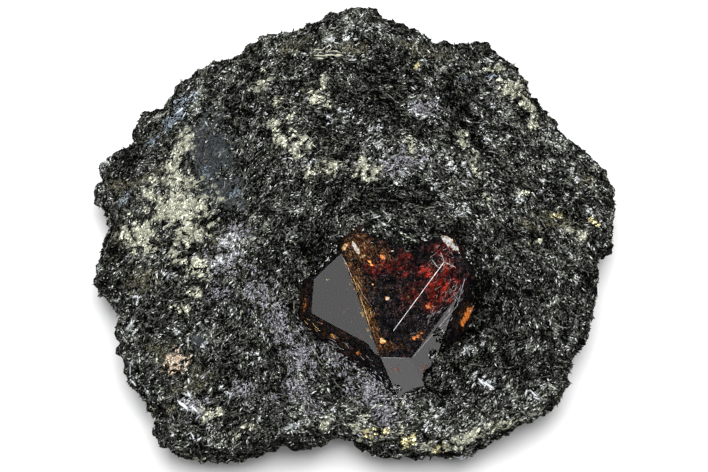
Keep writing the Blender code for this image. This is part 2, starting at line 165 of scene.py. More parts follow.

# Broad areas of the rock that are lighter or darker: x, y, half length, half width, turn in degrees,
# and the gain in natural logarithms. They carry painted light and shade: the darker ones beside the crystal
# and in creases are painted shade, the lighter ones below the crystal painted light on rock that it shades;
# elsewhere they also set the rock's tone.
LIGHT_SHADE_AND_TONES = (
    (-16.5, 16.5, 4.0, 1.4, 20, 0.4), (-6.0, 18.0, 1.6, 2.6, 0, 0.8), (-3.2, 21.8, 3.4, 1.1, 35, 0.9),
    (5.0, 21.0, 2.5, 1.4, -30, 0.8), (12.5, 19.0, 2.5, 1.2, 0, 0.8), (2.3, 15.3, 1.8, 1.4, 0, 1.0),
    (8.7, 12.1, 1.6, 1.6, 0, 1.2), (16.5, 12.9, 1.8, 1.8, 0, 1.1), (19.3, 6.0, 5.0, 1.6, 0, 1.1),
    (25.0, 8.4, 3.4, 1.2, -25, 0.5), (8.0, 6.3, 1.8, 1.2, 0, 0.8), (-19.5, 5.0, 3.4, 1.2, 0, 0.7),
    (-12.7, 6.0, 3.4, 1.4, 0, 0.5), (-8.3, 5.3, 1.6, 1.5, 0, 0.8), (-9.9, -0.3, 1.6, 2.4, 0, 1.3),
    (-12.5, -5.5, 2.5, 1.4, 20, 0.6), (-21.5, -0.7, 1.4, 1.2, 0, 0.5), (-24.0, -8.7, 2.8, 1.2, -15, 0.6),
    (-25.6, -14.2, 1.4, 3.0, 20, 0.9), (-19.0, -16.5, 1.8, 1.6, 0, 0.9), (-19.0, -22.5, 2.3, 1.6, 0, 1.0),
    (-14.0, -25.0, 2.8, 1.7, 0, 0.7), (-4.8, -17.8, 4.5, 1.6, 10, 0.5), (7.5, -21.8, 4.8, 2.6, -20, 1.1),
    (3.0, -25.0, 2.8, 1.5, 0, 0.9), (14.3, -18.3, 1.6, 1.0, 20, 0.6), (18.8, -14.5, 1.4, 2.2, 30, 0.8),
    (21.5, -19.0, 2.0, 1.2, 0, 0.5), (25.0, -6.8, 1.6, 1.4, 0, 0.5), (2.0, -17.6, 1.6, 1.0, -35, 0.9),
    (-4.9, 3.2, 2.0, 1.3, 0, -1.2), (-0.6, 1.5, 2.0, 1.2, 0, -1.0), (3.8, 2.2, 2.5, 1.4, 0, -1.0),
    (9.3, -0.6, 1.8, 1.2, -50, -1.2), (13.4, 10.5, 3.6, 0.6, -52, -1.6), (-5.1, -3.8, 2.4, 1.3, 43, -2.0),
    (-9.6, 10.6, 2.6, 1.3, -20, -0.8), (-0.4, 14.0, 1.2, 2.6, 0, -0.6),
    (11.8, 14.4, 2.0, 1.3, -25, -1.4), (14.3, 10.7, 0.9, 1.6, 0, -0.5),
    (19.9, 11.0, 1.2, 1.4, 0, -0.8), (-25.0, 7.0, 1.7, 3.0, 0, -0.4), (-24.3, 9.3, 2.0, 1.0, 40, -0.5),
    (-16.0, -11.0, 4.5, 1.6, -12, -0.7), (-20.6, -9.6, 1.4, 2.0, 60, -0.5), (-8.8, -14.4, 2.7, 2.0, 0, -0.9),
    (14.5, -10.0, 1.8, 1.8, 0, -1.3), (12.8, -13.6, 1.6, 1.6, 0, -1.2), (11.4, -16.5, 1.0, 1.5, 0, -0.9),
    (22.4, -12.5, 3.0, 2.0, 0, -1.5), (20.5, -7.0, 3.2, 1.0, -8, -0.7), (18.2, -1.8, 2.2, 1.0, -20, -0.7),
    (28.5, 2.0, 1.2, 2.2, 0, -0.4), (-28.0, -7.0, 1.2, 3.0, 0, -0.5), (13.6, -15.9, 2.0, 1.1, 0, -1.2),
    (12.5, -21.6, 1.8, 1.2, 0, -1.0), (18.5, -3.5, 3.6, 1.2, 5, -0.8), (6.3, 1.6, 2.6, 0.9, 0, -0.8),
    (-16.0, 14.6, 1.2, 1.4, 0, -0.6), (9.5, -24.2, 2.5, 1.0, 0, 0.8), (2.2, -20.5, 1.2, 3.0, 0, 0.6),
)

# Long pale blades on the rock: points in plan, the width and the colour.
BLADE_COLOURS = {"cream": (0.52, 0.52, 0.41), "white": (0.72, 0.76, 0.80), "hair": (0.30, 0.30, 0.26),
                 "grey": (0.12, 0.12, 0.12)}
BLADES = (
    (((-4.5, 20.1), (-3.5, 20.0), (-2.5, 20.5)), 0.28, "cream"),
    (((-4.4, 19.5), (-3.0, 19.3), (-1.2, 19.4)), 0.42, "cream"),
    (((-2.9, 19.7), (-2.1, 19.8), (-1.3, 19.6)), 0.2, "cream"), (((-2.1, 20.7), (-1.2, 20.8)), 0.25, "white"),
    (((-0.5, 19.1), (0.2, 19.1)), 0.25, "white"), (((-2.9, 21.5), (-2.3, 20.9)), 0.3, "cream"),
    (((-19.5, -19.9), (-18.9, -20.4), (-18.3, -21.0)), 0.8, "white"),
    (((-18.0, -20.5), (-17.3, -21.3)), 0.5, "white"), (((-18.4, -18.9), (-18.1, -19.7)), 0.45, "white"),
    (((-18.3, -17.5), (-18.3, -18.1)), 0.4, "white"),
    (((-18.5, -23.9), (-18.0, -23.6), (-17.6, -24.3)), 0.25, "white"),
    (((-24.9, -15.6), (-25.1, -16.6)), 0.2, "white"), (((-25.0, -17.0), (-24.5, -17.8)), 0.5, "white"),
    (((13.9, -17.6), (14.6, -18.3)), 0.5, "white"), (((14.5, -18.0), (15.6, -18.6)), 0.55, "white"),
    (((14.0, -18.5), (14.7, -18.7)), 0.35, "grey"), (((19.7, -18.9), (20.5, -19.5)), 0.4, "white"),
    (((20.1, -19.5), (20.9, -19.9)), 0.4, "white"), (((20.7, -21.2), (21.7, -21.0)), 0.5, "cream"),
    (((-20.0, 12.6), (-19.2, 13.1)), 0.35, "white"), (((-19.4, 12.0), (-18.9, 12.6)), 0.28, "white"),
    (((-18.6, 14.2), (-18.1, 14.7)), 0.25, "white"),
)

# Patches of other minerals, some of them painted glints, painted sheen and painted shade: x, y, half length,
# half width, turn in degrees.
PATCHES = {
    "cream": (
        (-19.6, 1.6, 3.1, 2.3, 0), (-19.7, 8.4, 1.7, 0.9, 60), (-20.2, 6.2, 1.5, 1.0, 55),
        (-19.6, 4.6, 2.3, 1.1, 0), (-16.6, 2.9, 1.3, 0.6, -5), (-22.9, 3.6, 0.8, 0.7, 80),
        (-23.6, -0.6, 1.6, 1.0, 10),
        (-25.7, -0.7, 0.94, 0.59, 0), (-24.0, -2.0, 1.7, 0.85, 20), (-23.1, -3, 0.59, 0.82, 90),
        (-18.4, -1.0, 1.9, 1.2, 0), (-19, -1.9, 1.2, 0.59, 10), (-20.5, -3.4, 0.94, 0.59, 0),
        (-19.6, -4.4, 1.1, 0.47, -60), (-17.4, -5, 1.4, 0.94, -20), (-17.5, -7.7, 0.82, 0.59, 0),
        (-18.9, -9.5, 0.94, 0.59, 0), (-10.3, 16, 1.1, 0.6, 30), (-3.5, 16, 1.3, 0.5, 80),
        (-4.2, 14.5, 1.0, 0.8, 0), (-3.0, 13.6, 0.7, 0.6, 0), (-8.5, 14, 0.6, 0.6, 0),
        (-7.2, 11.9, 0.8, 0.5, 80), (-9, 11.2, 0.9, 0.75, 0), (-8, 9.4, 0.85, 0.7, 0),
        (-6.9, 9.7, 0.9, 0.6, 80), (-5.7, 9, 0.85, 0.6, -10), (-6.4, 7.9, 0.95, 0.6, 0),
        (-4.7, 5.8, 0.95, 0.55, 40), (-2.7, 6.1, 1.0, 0.8, 0), (-1.5, 6.4, 0.6, 0.5, 20),
        (1, 6.3, 0.94, 0.7, 30), (1.8, 5.2, 0.94, 0.59, 10), (2.6, 5.8, 0.59, 0.47, 30),
        (6.6, 8.2, 1.1, 0.53, -75), (12, 10.4, 0.7, 0.59, -50), (12.5, 9.1, 0.59, 0.47, 0),
        (13.7, 7.8, 0.7, 0.35, -70), (13.7, 6, 0.94, 0.29, -60), (14.8, 2.8, 0.47, 0.35, 0),
        (18.2, 15.4, 1.7, 0.8, -25), (19.7, 13.6, 1.2, 0.7, -50), (20.3, 11.9, 1.0, 0.6, -75),
        (16.1, 17.9, 0.94, 0.41, 0), (25.9, -1.3, 0.94, 0.47, 0), (24.4, -1, 0.7, 0.35, -30),
        (19.3, 3.4, 0.59, 0.23, 0), (20.8, -2, 0.47, 0.23, 80), (19.9, -2.1, 0.47, 0.23, 80),
        (-3, -22.3, 0.82, 0.41, 70), (0.4, -22.8, 0.7, 0.47, -40), (1.3, -21.9, 0.59, 0.35, 20),
        (5.4, -22.3, 1.4, 0.19, 88), (8.2, -25.1, 1.6, 0.4, 15), (13.2, -24.1, 1.7, 0.8, 30),
        (10.4, -25.0, 2.6, 0.6, 12), (16.6, -22.8, 1.7, 0.5, 25), (19.4, -21.8, 1.5, 0.5, 25),
        (15.2, -22.7, 0.94, 0.29, 30), (21.5, -20.8, 0.82, 0.35, 10), (17.4, -22.7, 0.59, 0.47, 60),
        (12.1, -24.9, 0.47, 0.35, 0), (-10.3, 17.7, 0.35, 0.23, 0), (-16.0, -21.6, 1.0, 0.8, -30),
        (-12.9, -24, 0.47, 0.35, 0), (-11.9, -23.1, 0.94, 0.41, 0),
    ),
    "yellow": (
        (1.9, -23.8, 0.8, 0.75, 0), (3.6, -23.4, 0.4, 0.35, 0), (6.1, -24.4, 0.8, 0.7, 20),
        (9.8, -25.2, 0.82, 0.47, -10), (9.4, -25.5, 0.35, 0.23, 0), (27.1, 0.2, 0.7, 0.35, -20),
        (23, 0.9, 0.94, 0.29, 0), (7.4, 18.1, 0.59, 0.47, 30),
    ),
    # The white patches are clusters of flakes painted white: painted glints of mica.
    "white": (
        (-20.7, -5.9, 0.59, 0.35, 0), (-25.4, -3.6, 0.47, 0.35, 60), (-24.1, -8.5, 0.94, 0.35, 10),
        (-26.9, -8.4, 0.7, 0.41, 0), (-24.8, -11.6, 0.47, 0.59, 0), (-19.9, -12.3, 0.7, 0.35, 0),
        (-24.4, -17.6, 0.7, 0.35, -70), (-23.1, -18.9, 0.35, 0.29, 0), (-24.9, -16.1, 0.7, 0.18, 80),
        (-18.5, -20.3, 0.94, 0.47, -45), (-18.4, -19.6, 0.59, 0.29, 70),
        (-16.1, -22.7, 0.59, 0.35, 80), (-18, -24.1, 0.47, 0.35, -40), (-14.3, -19, 0.82, 0.29, -45),
        (-10.4, -22.1, 0.47, 0.23, -20), (-0.7, 21.6, 0.82, 0.35, 35), (-2.6, 21.2, 0.47, 0.29, 0),
        (-0.1, 19.3, 0.47, 0.23, -30), (3, 22.3, 0.47, 0.29, -50), (4, 21.9, 0.35, 0.23, -40),
        (1.7, 22.4, 0.35, 0.23, 0), (-0.9, 13.1, 0.94, 0.41, 10), (-2.8, 11.8, 0.53, 0.47, 0),
        (-0.9, 11.7, 0.7, 0.35, 70), (-1.8, 10.9, 0.47, 0.29, 0), (6.3, 13.6, 0.59, 0.35, 20),
        (7, 12.5, 0.82, 0.35, -40), (8.2, 12.2, 0.82, 0.29, 0), (9.6, 14.2, 0.7, 0.29, -70),
        (-4.6, 6.7, 0.59, 0.35, 0), (3.1, 7.1, 0.59, 0.35, 0), (4.1, 7, 0.59, 0.35, 20),
        (2.7, 8.6, 0.47, 0.41, 0), (2.6, 10.5, 0.7, 0.47, 0), (5.8, 5.4, 0.47, 0.47, 0),
        (4.9, 4.4, 0.47, 0.35, 0), (8.1, 8, 0.35, 0.35, 0), (9.2, 3.8, 0.59, 0.35, -30),
        (2.4, 0.1, 0.7, 0.12, -10), (11.2, 6.2, 0.94, 0.53, -35), (12.6, 6.2, 0.47, 0.47, 0),
        (13, 5.4, 0.35, 0.29, 0), (10, 3, 0.59, 0.47, -60), (10.7, 1.9, 0.47, 0.23, -30),
        (12.5, 1.7, 0.47, 0.35, 0), (11.8, 0.7, 0.94, 0.35, -15), (15.8, 13.4, 0.47, 0.29, -30),
        (14.7, 10.8, 0.82, 0.29, -65), (15, 9.7, 0.47, 0.29, 60), (17.2, 10, 0.47, 0.23, -40),
        (20.6, 9.2, 0.29, 0.29, 0), (18.9, 9.9, 0.35, 0.23, -20), (21.6, 4.6, 0.35, 0.29, 0),
        (21.2, 3.3, 0.35, 0.23, 0), (25, 4.8, 0.47, 0.35, 0), (24.8, 5.9, 0.35, 0.29, 0),
        (18.8, 2.8, 0.59, 0.23, -20), (26.6, 1.3, 0.59, 0.29, -30), (16.1, -3.7, 0.29, 0.23, 0),
        (-6.3, -22.7, 0.94, 0.47, 20), (-1.8, -21, 0.59, 0.35, 0), (8, -22.9, 0.47, 0.41, 0),
        (1.4, -24.1, 0.7, 0.35, 0), (8.8, -21, 0.94, 0.12, -70), (9.1, -22.2, 0.7, 0.12, 90),
        (14.9, -18.2, 0.9, 0.55, 10), (13.7, -17.4, 0.7, 0.35, 70), (20.1, -19.5, 0.9, 0.35, -25),
        (10.8, -13.2, 0.7, 0.47, 45), (12.5, -14.6, 0.7, 0.47, 45), (14.4, -13.2, 0.7, 0.29, 80),
        (10, -21.3, 0.59, 0.23, -50), (-16.7, -13.7, 0.59, 0.23, 30), (-11.1, -14.6, 0.59, 0.23, 0),
        (-14.7, -4.4, 1.4, 0.59, 10), (-13.8, -2.1, 0.94, 0.7, 30), (4.6, -18.9, 0.59, 0.29, -30),
    ),
    "needle": (
        (-2.6, 19.9, 1.5, 0.15, 14), (-2.5, 19.2, 1.6, 0.23, 2), (-0.2, 20.8, 0.7, 0.12, 10),
    ),
    # The blue patches are painted bluish sheen, the reflection on smooth faces of biotite.
    "blue": (
        (-18.6, 14.0, 1.1, 0.8, 40), (-19.8, 12.6, 1.8, 0.8, 45), (-20.9, 11.6, 0.9, 0.8, 40),
        (-22.8, 9.7, 0.94, 0.47, 50), (-25.7, 3.2, 0.82, 0.47, 40), (-13.2, 3.6, 0.8, 0.5, 20),
        (-16.6, 6.1, 0.7, 0.35, -70), (12.7, 16.9, 0.7, 0.35, -20), (15.7, 16.8, 0.6, 0.3, 0),
    ),
    "tan": (
        (-19.6, -15.7, 1.3, 1.0, 10),
    ),
    "silver": (
        (-14.7, -4.4, 2.3, 1.4, 0), (-12.9, -1.1, 2.1, 1.2, 35), (-10.2, -7.6, 2.3, 1.4, -50),
        (-8.8, -10.7, 2.8, 1.4, -60), (-5.9, -14.8, 1.9, 2.8, 0), (-5.9, -18.9, 1.6, 1.4, 0),
        (2.2, -19.0, 2.4, 1.8, -30), (4.1, -19.7, 1.1, 0.7, 0), (6, -19.9, 0.94, 0.47, 0),
        (3.4, -21.8, 2.0, 1.4, 0), (-4.2, -21.1, 0.94, 0.7, 0), (-12, -18.8, 1.1, 1.2, 0),
        (-17.2, -20.9, 1.4, 1.2, 0),
        # The first patch on the next line, at -1.5, -16, is painted light on rock that the crystal shades.
        (-1.5, -16, 1.6, 1.2, -30), (-14.9, -8, 1.6, 0.82, 0), (8.2, 13.2, 1.8, 1.0, 0),
        (4.7, 6.2, 2.1, 0.94, 0), (6.4, 6.8, 2.3, 1.2, 0),
    ),
    "slate": (
        (-16.3, 8.3, 3.4, 1.9, 82), (-14.8, 3.5, 2.1, 1.4, 0), (-17.1, -13.4, 0.6, 0.8, 60),
    ),
    "olive": (
        (8.2, 19.9, 2.6, 0.7, -15), (-6.9, 20.2, 0.94, 0.47, 10), (-7.0, 20.6, 2.0, 0.7, 10),
        (-26.3, -1, 0.94, 0.94, 0), (-26.6, 4.7, 2.3, 0.59, 0),
        (-25.2, 4.4, 1.2, 0.47, 20), (-18.1, -18.3, 1.9, 0.7, 20), (-20.2, -21, 0.7, 0.47, 0),
        (-17.6, -16.9, 0.7, 0.59, 0), (23, 0.2, 2.8, 0.59, -20), (19.7, -0.1, 1.4, 0.47, -30),
        (-15.4, -1.8, 0.59, 0.94, 80), (-0.3, 20.3, 1.6, 0.59, 0), (-23, 5.7, 2.3, 0.47, 30),
        (-23.8, -6.5, 1.6, 0.94, 20), (-21.5, -14.9, 1.4, 0.94, 0), (26.1, 4.8, 1.2, 0.59, 0),
    ),
    # The dark patches are mostly painted shade in hollows, creases and slopes turned from the light, with a
    # few dark blots of biotite.
    "dark": (
        (9.7, -14.3, 1.8, 0.8, -65), (-16.3, 0.7, 0.94, 0.82, 0), (-17.5, 4.2, 0.59, 0.7, 0),
        (-24.2, -16.4, 0.53, 0.47, 90),
        (-17, -18.6, 0.94, 0.94, 0), (-3.9, 5.1, 0.94, 0.47, 40), (-7.7, 10.8, 0.59, 0.47, 0),
        (13.3, 10.6, 3.2, 0.55, -52), (11.6, 13.5, 1.6, 1.1, -50), (3.6, 16.2, 3.1, 2.3, 0),
        (-0.9, -23.2, 1.1, 0.47, -20), (13.1, -12.5, 0.94, 0.94, 30), (-9.5, 0.8, 0.94, 1.2, 0),
        (-0.9, 15, 1.6, 1.2, 0), (-8.8, -6.6, 1.4, 0.94, 0), (4.8, 19.1, 1.9, 1.2, 0),
        (-13.3, 13.1, 1.4, 1.2, 0), (10.8, 16.6, 0.94, 0.94, 0), (18, 10.7, 1.2, 0.59, -40),
        (20.5, 8.4, 1.2, 0.59, -50), (14.2, -7.1, 1.4, 2.8, -20), (-1.4, -18.6, 1.2, 1.4, 0),
        (18.8, -7.6, 1.6, 0.94, 0),
    ),
}
WHOLE_PATCHES = ("slate", "dark", "blue", "olive")      # patches without dark holes
# Dark patches on the top are mostly painted shade; the dark blots on the sides are darker rock.
SHADE_AND_DARK_LOSS = 1.1                  # how much darker a dark patch is, in natural logarithms

# Blots on the rock's sides: the mineral, the seed of its noise, and the least noise that makes a blot.
SIDE_BLOTS = (
    ("cream", 81, 0.8), ("white", 82, 0.8), ("silver", 83, 0.6), ("olive", 84, 0.6), ("dark", 85, 0.2),
)

# The rock's colour in the patches, and how far it covers what is there; the pale ground of the white patches
# is part of their painted glints.
GROUNDS = (
    ("slate", (0.036, 0.042, 0.045), 0.9), ("silver", (0.05, 0.05, 0.057), 0.8),
    ("olive", (0.033, 0.031, 0.021), 0.8), ("cream", (0.40, 0.405, 0.315), 0.95),
    ("white", (0.30, 0.32, 0.32), 0.6), ("yellow", (0.45, 0.40, 0.20), 0.9),
    ("tan", (0.40, 0.31, 0.23), 0.95),
)

# How light the biotite flakes are: the share of them that is darker, and the tone in natural logarithms. The
# lightest, near white, are painted glints.
BIOTITE_TONES_AND_GLINTS = (
    (0.0, -7.2), (0.25, -5.9), (0.5, -4.65), (0.7, -3.3), (0.85, -1.5), (0.93, -0.45), (1.0, 0.15),
)

# The kinds of flakes: the name of their pieces, and their finish's name, roughness and gloss.
BIOTITE, SILVER, RUSTY, PALE = range(4)
FLAKE_KINDS = (
    ("biotite_flakes", "biotite_black", 0.38, 0.01), ("silver_flakes", "mica_silver", 0.35, 0.5),
    ("rusty_flakes", "mica_rusty", 0.6, 0.2), ("cream_flakes", "mica_cream", 0.5, 0.2),
)

# Flakes are laid in two rounds: in each, the share of the rock's triangles that get one on its top, on
# its sides and on its base.
FLAKE_SHARES = ((1.0, 0.55, 0.12), (0.2, 0.0, 0.0))

# What grows in the patches: the patch, the share of its flakes, their colours from dark to light, and
# their kind. The white flakes are painted glints and the blue ones painted bluish sheen.
GROWTHS = (
    ("olive", 0.6, (0.027, 0.026, 0.018), (0.115, 0.111, 0.073), RUSTY),
    ("silver", 0.8, (0.05, 0.05, 0.057), (0.54, 0.53, 0.59), SILVER),
    ("slate", 0.6, (0.03, 0.036, 0.040), (0.09, 0.10, 0.115), BIOTITE),
    ("blue", 0.75, (0.03, 0.042, 0.056), (0.40, 0.50, 0.60), SILVER),
    ("cream", 0.9, (0.25, 0.248, 0.18), (0.50, 0.505, 0.395), PALE),
    ("white", 0.62, (0.14, 0.15, 0.155), (0.80, 0.83, 0.84), PALE),
    ("yellow", 0.9, (0.34, 0.30, 0.12), (0.72, 0.66, 0.38), PALE),
    ("tan", 0.92, (0.45, 0.34, 0.24), (0.80, 0.68, 0.53), PALE),
    ("needle", 0.95, (0.30, 0.29, 0.21), (0.66, 0.65, 0.55), PALE),
)


def smooth(low, high, value):
    """0 below low, 1 above high and an even S between them."""
    t = np.clip((value - low) / (high - low), 0.0, 1.0)
    return t * t * (3.0 - 2.0 * t)


def noise_at(points, size, seed, octaves=1):
    """Noise of about -1 to 1 at each point, with lumps of that size in mm."""
    shift = np.array((17.3, 5.1, 9.7)) * seed
    places = np.asarray(points) / size + shift
    if octaves == 1:
        return np.array([noise.noise(p) for p in places.tolist()]) * 1.6
    return np.array([noise.fractal(p, 0.8, 2.0, octaves) for p in places.tolist()]) * 1.3


def ellipse_reach(dx, dy, half_length, half_width, turn):
    """How far out in a turned ellipse places lie, 1 on its rim; dx and dy count from its middle."""
    c, s = math.cos(math.radians(turn)), math.sin(math.radians(turn))
    return np.hypot((dx * c + dy * s) / half_length, (dy * c - dx * s) / half_width)


def patch_edge(points):
    """The noise that makes the rims of the mineral patches ragged."""
    return noise_at(points, 0.9, 11, 3)


def patch_mask(patches, points, edge, holes=0.0, soft=1.0):
    """How much each point lies in one of the patches, 0 to 1; edge is noise that makes them ragged, and
    holes, 0 to 1, breaks up the small ones, and the rims of the large ones."""
    mask = np.zeros(len(points))
    holes = holes + mask
    for x, y, half_length, half_width, turn in patches:
        dx, dy = points[:, 0] - x, points[:, 1] - y
        near = np.flatnonzero(np.hypot(dx, dy) < 2.0 * max(half_length, half_width) + 0.2)
        reach = ellipse_reach(dx[near], dy[near], half_length, half_width, turn)
        ragged = edge[near] * min(1.0, 0.3 + 0.6 * half_width) * np.minimum(reach, 1.0)
        inside = 1.0 - reach + ragged - holes[near] * (1.35 - 0.5 * min(half_width, 1.6))
        mask[near] = np.maximum(mask[near], smooth(-0.12 * soft, 0.08 * soft, inside))
    return mask


def folded_out(points):
    """Places in plan, with the sides folded out flat around the top, so that no patch runs down them."""
    radius = np.maximum(np.hypot(points[:, 0], points[:, 1]), 1.0)
    return points[:, :2] * (1.0 + np.maximum(0.0, RIM - points[:, 2]) / radius)[:, None]


def mineral_light_and_shade_masks(points):
    """How much of each mineral lies at each point, 0 to 1; the white and blue patches are painted glints and
    sheen, and the dark ones mostly painted shade.
    The pale patches have dark holes, and the sides have blots of their own."""
    edge = patch_edge(points)
    low = 1.0 - smooth(RIM - 3.5, RIM - 0.5, points[:, 2])
    gaps = smooth(0.17, 0.05, np.abs(noise_at(points, 0.85, 75)))
    holes = np.maximum(smooth(0.05, 0.38, noise_at(points, 0.42, 71)), 0.9 * gaps)
    plan = folded_out(points)
    masks = {}
    for kind, patches in PATCHES.items():
        broken = 0.0 if kind in WHOLE_PATCHES else holes
        masks[kind] = patch_mask(patches, plan, edge, broken, 4.0 if kind == "slate" else 1.0)
    for kind, seed, least in SIDE_BLOTS:
        blots = noise_at(points * (1.0, 1.0, 1.5), 2.4, seed) + 0.25 * edge - 0.5 * holes
        masks[kind] = np.maximum(masks[kind], low * smooth(least, least + 0.1, blots))
    return masks


def soft_masks(places, points):
    """The soft-edged strengths of places with x, y, half length, half width, turn and strength."""
    for x, y, half_length, half_width, turn, strength in places:
        reach = ellipse_reach(points[:, 0] - x, points[:, 1] - y, half_length, half_width, turn)
        yield strength * np.exp(-0.9 * reach ** 2.5)


def strongest(places, points):
    """At each point the strength of the place that is strongest there."""
    return np.maximum.reduce(list(soft_masks(places, points)))


def foliation_bands(points):
    """The rock's foliation: it wraps the crystal, and runs straight in bands further out.
    For each band its weight, its angle, and places measured along and across it in mm."""
    x, y = points[:, 0], points[:, 1]
    dx, dy = x - CRYSTAL_MIDDLE[0], y - CRYSTAL_MIDDLE[1]
    distance, bearing = np.hypot(dx, dy), np.arctan2(dy, dx)
    ring = np.exp(-((distance - WRAP_RADIUS) / WRAP_WIDTH) ** 2) * 1.3
    right = smooth(4.0, 14.0, x) * smooth(-16.0, -4.0, y)
    left = 1.0 - smooth(-14.0, 0.0, x)
    bands = [(ring, bearing + math.pi / 2, WRAP_RADIUS * bearing, distance)]
    for weight, turn in ((right, -40), (0.7 * left, 55), (np.full(len(x), 0.3), -8)):
        a = math.radians(turn)
        along, across = x * math.cos(a) + y * math.sin(a), y * math.cos(a) - x * math.sin(a)
        bands.append((weight, np.full(len(x), a), along, across))
    return bands


def foliation(points):
    """Unit vectors in plan along which the flakes lie."""
    bands = foliation_bands(points)
    c = sum(w * np.cos(2 * a) for w, a, _, _ in bands)
    s = sum(w * np.sin(2 * a) for w, a, _, _ in bands)
    angle = np.arctan2(s, c) / 2 + 0.45 * noise_at(points, 4.0, 3) + 0.8 * noise_at(points, 1.2, 4)
    return np.column_stack((np.cos(angle), np.sin(angle), np.zeros(len(points))))


def streaks(points, length, width, seed):
    """Noise of about -1 to 1, drawn out along the foliation."""
    total, value = 0.0, 0.0
    for number, (weight, _, along, across) in enumerate(foliation_bands(points)):
        places = np.column_stack((along / length, across / width, points[:, 2] / (2 * width)))
        value = value + weight * noise_at(places, 1.0, seed + number)
        total = total + weight
    return value / total


def unit(vectors):
    """Each row at length 1."""
    return vectors / np.maximum(np.linalg.norm(vectors, axis=1, keepdims=True), 1e-9)


# ---------------------------------------------------------------- shader helpers

class Value:
    """A shader socket on which Python's own signs +, - and * work: they add Math nodes."""

    def __init__(self, finish, socket):
        self.finish = finish
        self.socket = socket

    def math(self, operation, *others):
        return self.finish.node("ShaderNodeMath", {"operation": operation}, dict(enumerate((self,) + others)))

    def __add__(self, other):
        return self.math("ADD", other)

    def __mul__(self, other):
        return self.math("MULTIPLY", other)

    def __rsub__(self, other):
        return (self * -1.0) + other

    __radd__ = __add__


class Finish:
    """A material or a world, with short ways to add its nodes."""

    def __init__(self, name, tree=None):
        self.material = None if tree else bpy.data.materials.new(name)
        if self.material:
            self.material.use_nodes = True
        self.tree = tree or self.material.node_tree
        self.tree.nodes.clear()

    def node(self, kind, settings=None, inputs=None, output=0):
        """Adds a node with its settings, then the values or links of its sockets, and gives one output."""
        node = self.tree.nodes.new(kind)
        for name, value in (settings or {}).items():
            if name == "stops":
                self.set_ramp(node.color_ramp, value)
            else:
                setattr(node, name, value)
        for name, value in (inputs or {}).items():
            if isinstance(value, Value):
                self.tree.links.new(value.socket, node.inputs[name])
            else:
                node.inputs[name].default_value = value
        return Value(self, node.outputs[output]) if len(node.outputs) else None

    def set_ramp(self, ramp, stops):
        while len(ramp.elements) < len(stops):
            ramp.elements.new(0.5)
        for element, (place, colour) in zip(ramp.elements, stops):
            element.position = place
            element.color = (*colour, 1.0)

    def coords(self):
        return self.node("ShaderNodeTexCoord", output="Object")

    def attribute(self, name, output="Color"):
        return self.node("ShaderNodeAttribute", {"attribute_name": name}, output=output)

    def noise(self, size, detail=2.0, rough=0.5, stretch=(1.0, 1.0, 1.0), turn=0.0):
        """Noise of that size in mm, 0 to 1, drawn out by stretch along its turned axes."""
        place = self.node("ShaderNodeMapping", {"vector_type": "TEXTURE"}, {
            "Vector": self.coords(), "Scale": tuple(size * MM * s for s in stretch),
            "Rotation": (0.0, 0.0, math.radians(turn))})
        return self.node("ShaderNodeTexNoise", None, {
            "Vector": place, "Scale": 1.0, "Detail": detail, "Roughness": rough})

    def cells(self, size, feature):
        """Angular cells of about that size in mm: a random tone in each, or the distance to its edge."""
        shift = self.node("ShaderNodeTexNoise", None, {
            "Vector": self.coords(), "Scale": 1.0 / (0.5 * MM), "Detail": 2.0}, output=1)
        shift = self.node("ShaderNodeVectorMath", {"operation": "SCALE"}, {0: shift, "Scale": 0.35 * MM})
        place = self.node("ShaderNodeVectorMath", {"operation": "ADD"}, {0: self.coords(), 1: shift})
        return self.node("ShaderNodeTexVoronoi", {"feature": feature}, {
            "Vector": place, "Scale": 1.0 / (size * MM)}, output=1 if feature == "F1" else 0)

    def mix(self, first, second, factor, mode="MIX"):
        """Mixes two colours."""
        return self.node("ShaderNodeMix", {"data_type": "RGBA", "blend_type": mode},
                         {0: factor, 6: first, 7: second}, output=2)

    def spread(self, value, low, high):
        """0 below low, 1 above high and even between."""
        return self.node("ShaderNodeMapRange", None, {"Value": value, 1: low, 2: high})

    def ramp(self, value, *stops):
        return self.node("ShaderNodeValToRGB", {"stops": stops}, {"Fac": value})

    def bump(self, height, depth):
        """A normal from a height of 0 to 1 that stands for that depth in mm."""
        return self.node("ShaderNodeBump", None, {"Height": height, "Distance": depth * MM})

    def principled(self, **inputs):
        """A Principled shader; each input is named by its socket, with _ for spaces."""
        return self.node("ShaderNodeBsdfPrincipled", None, {
            name.replace("_", " "): value for name, value in inputs.items()})

    def surface(self, shader, volume=None):
        links = {"Surface": shader}
        if volume:
            links["Volume"] = volume
        self.node("ShaderNodeOutputMaterial", None, links)
        return self.material


# ---------------------------------------------------------------- materials

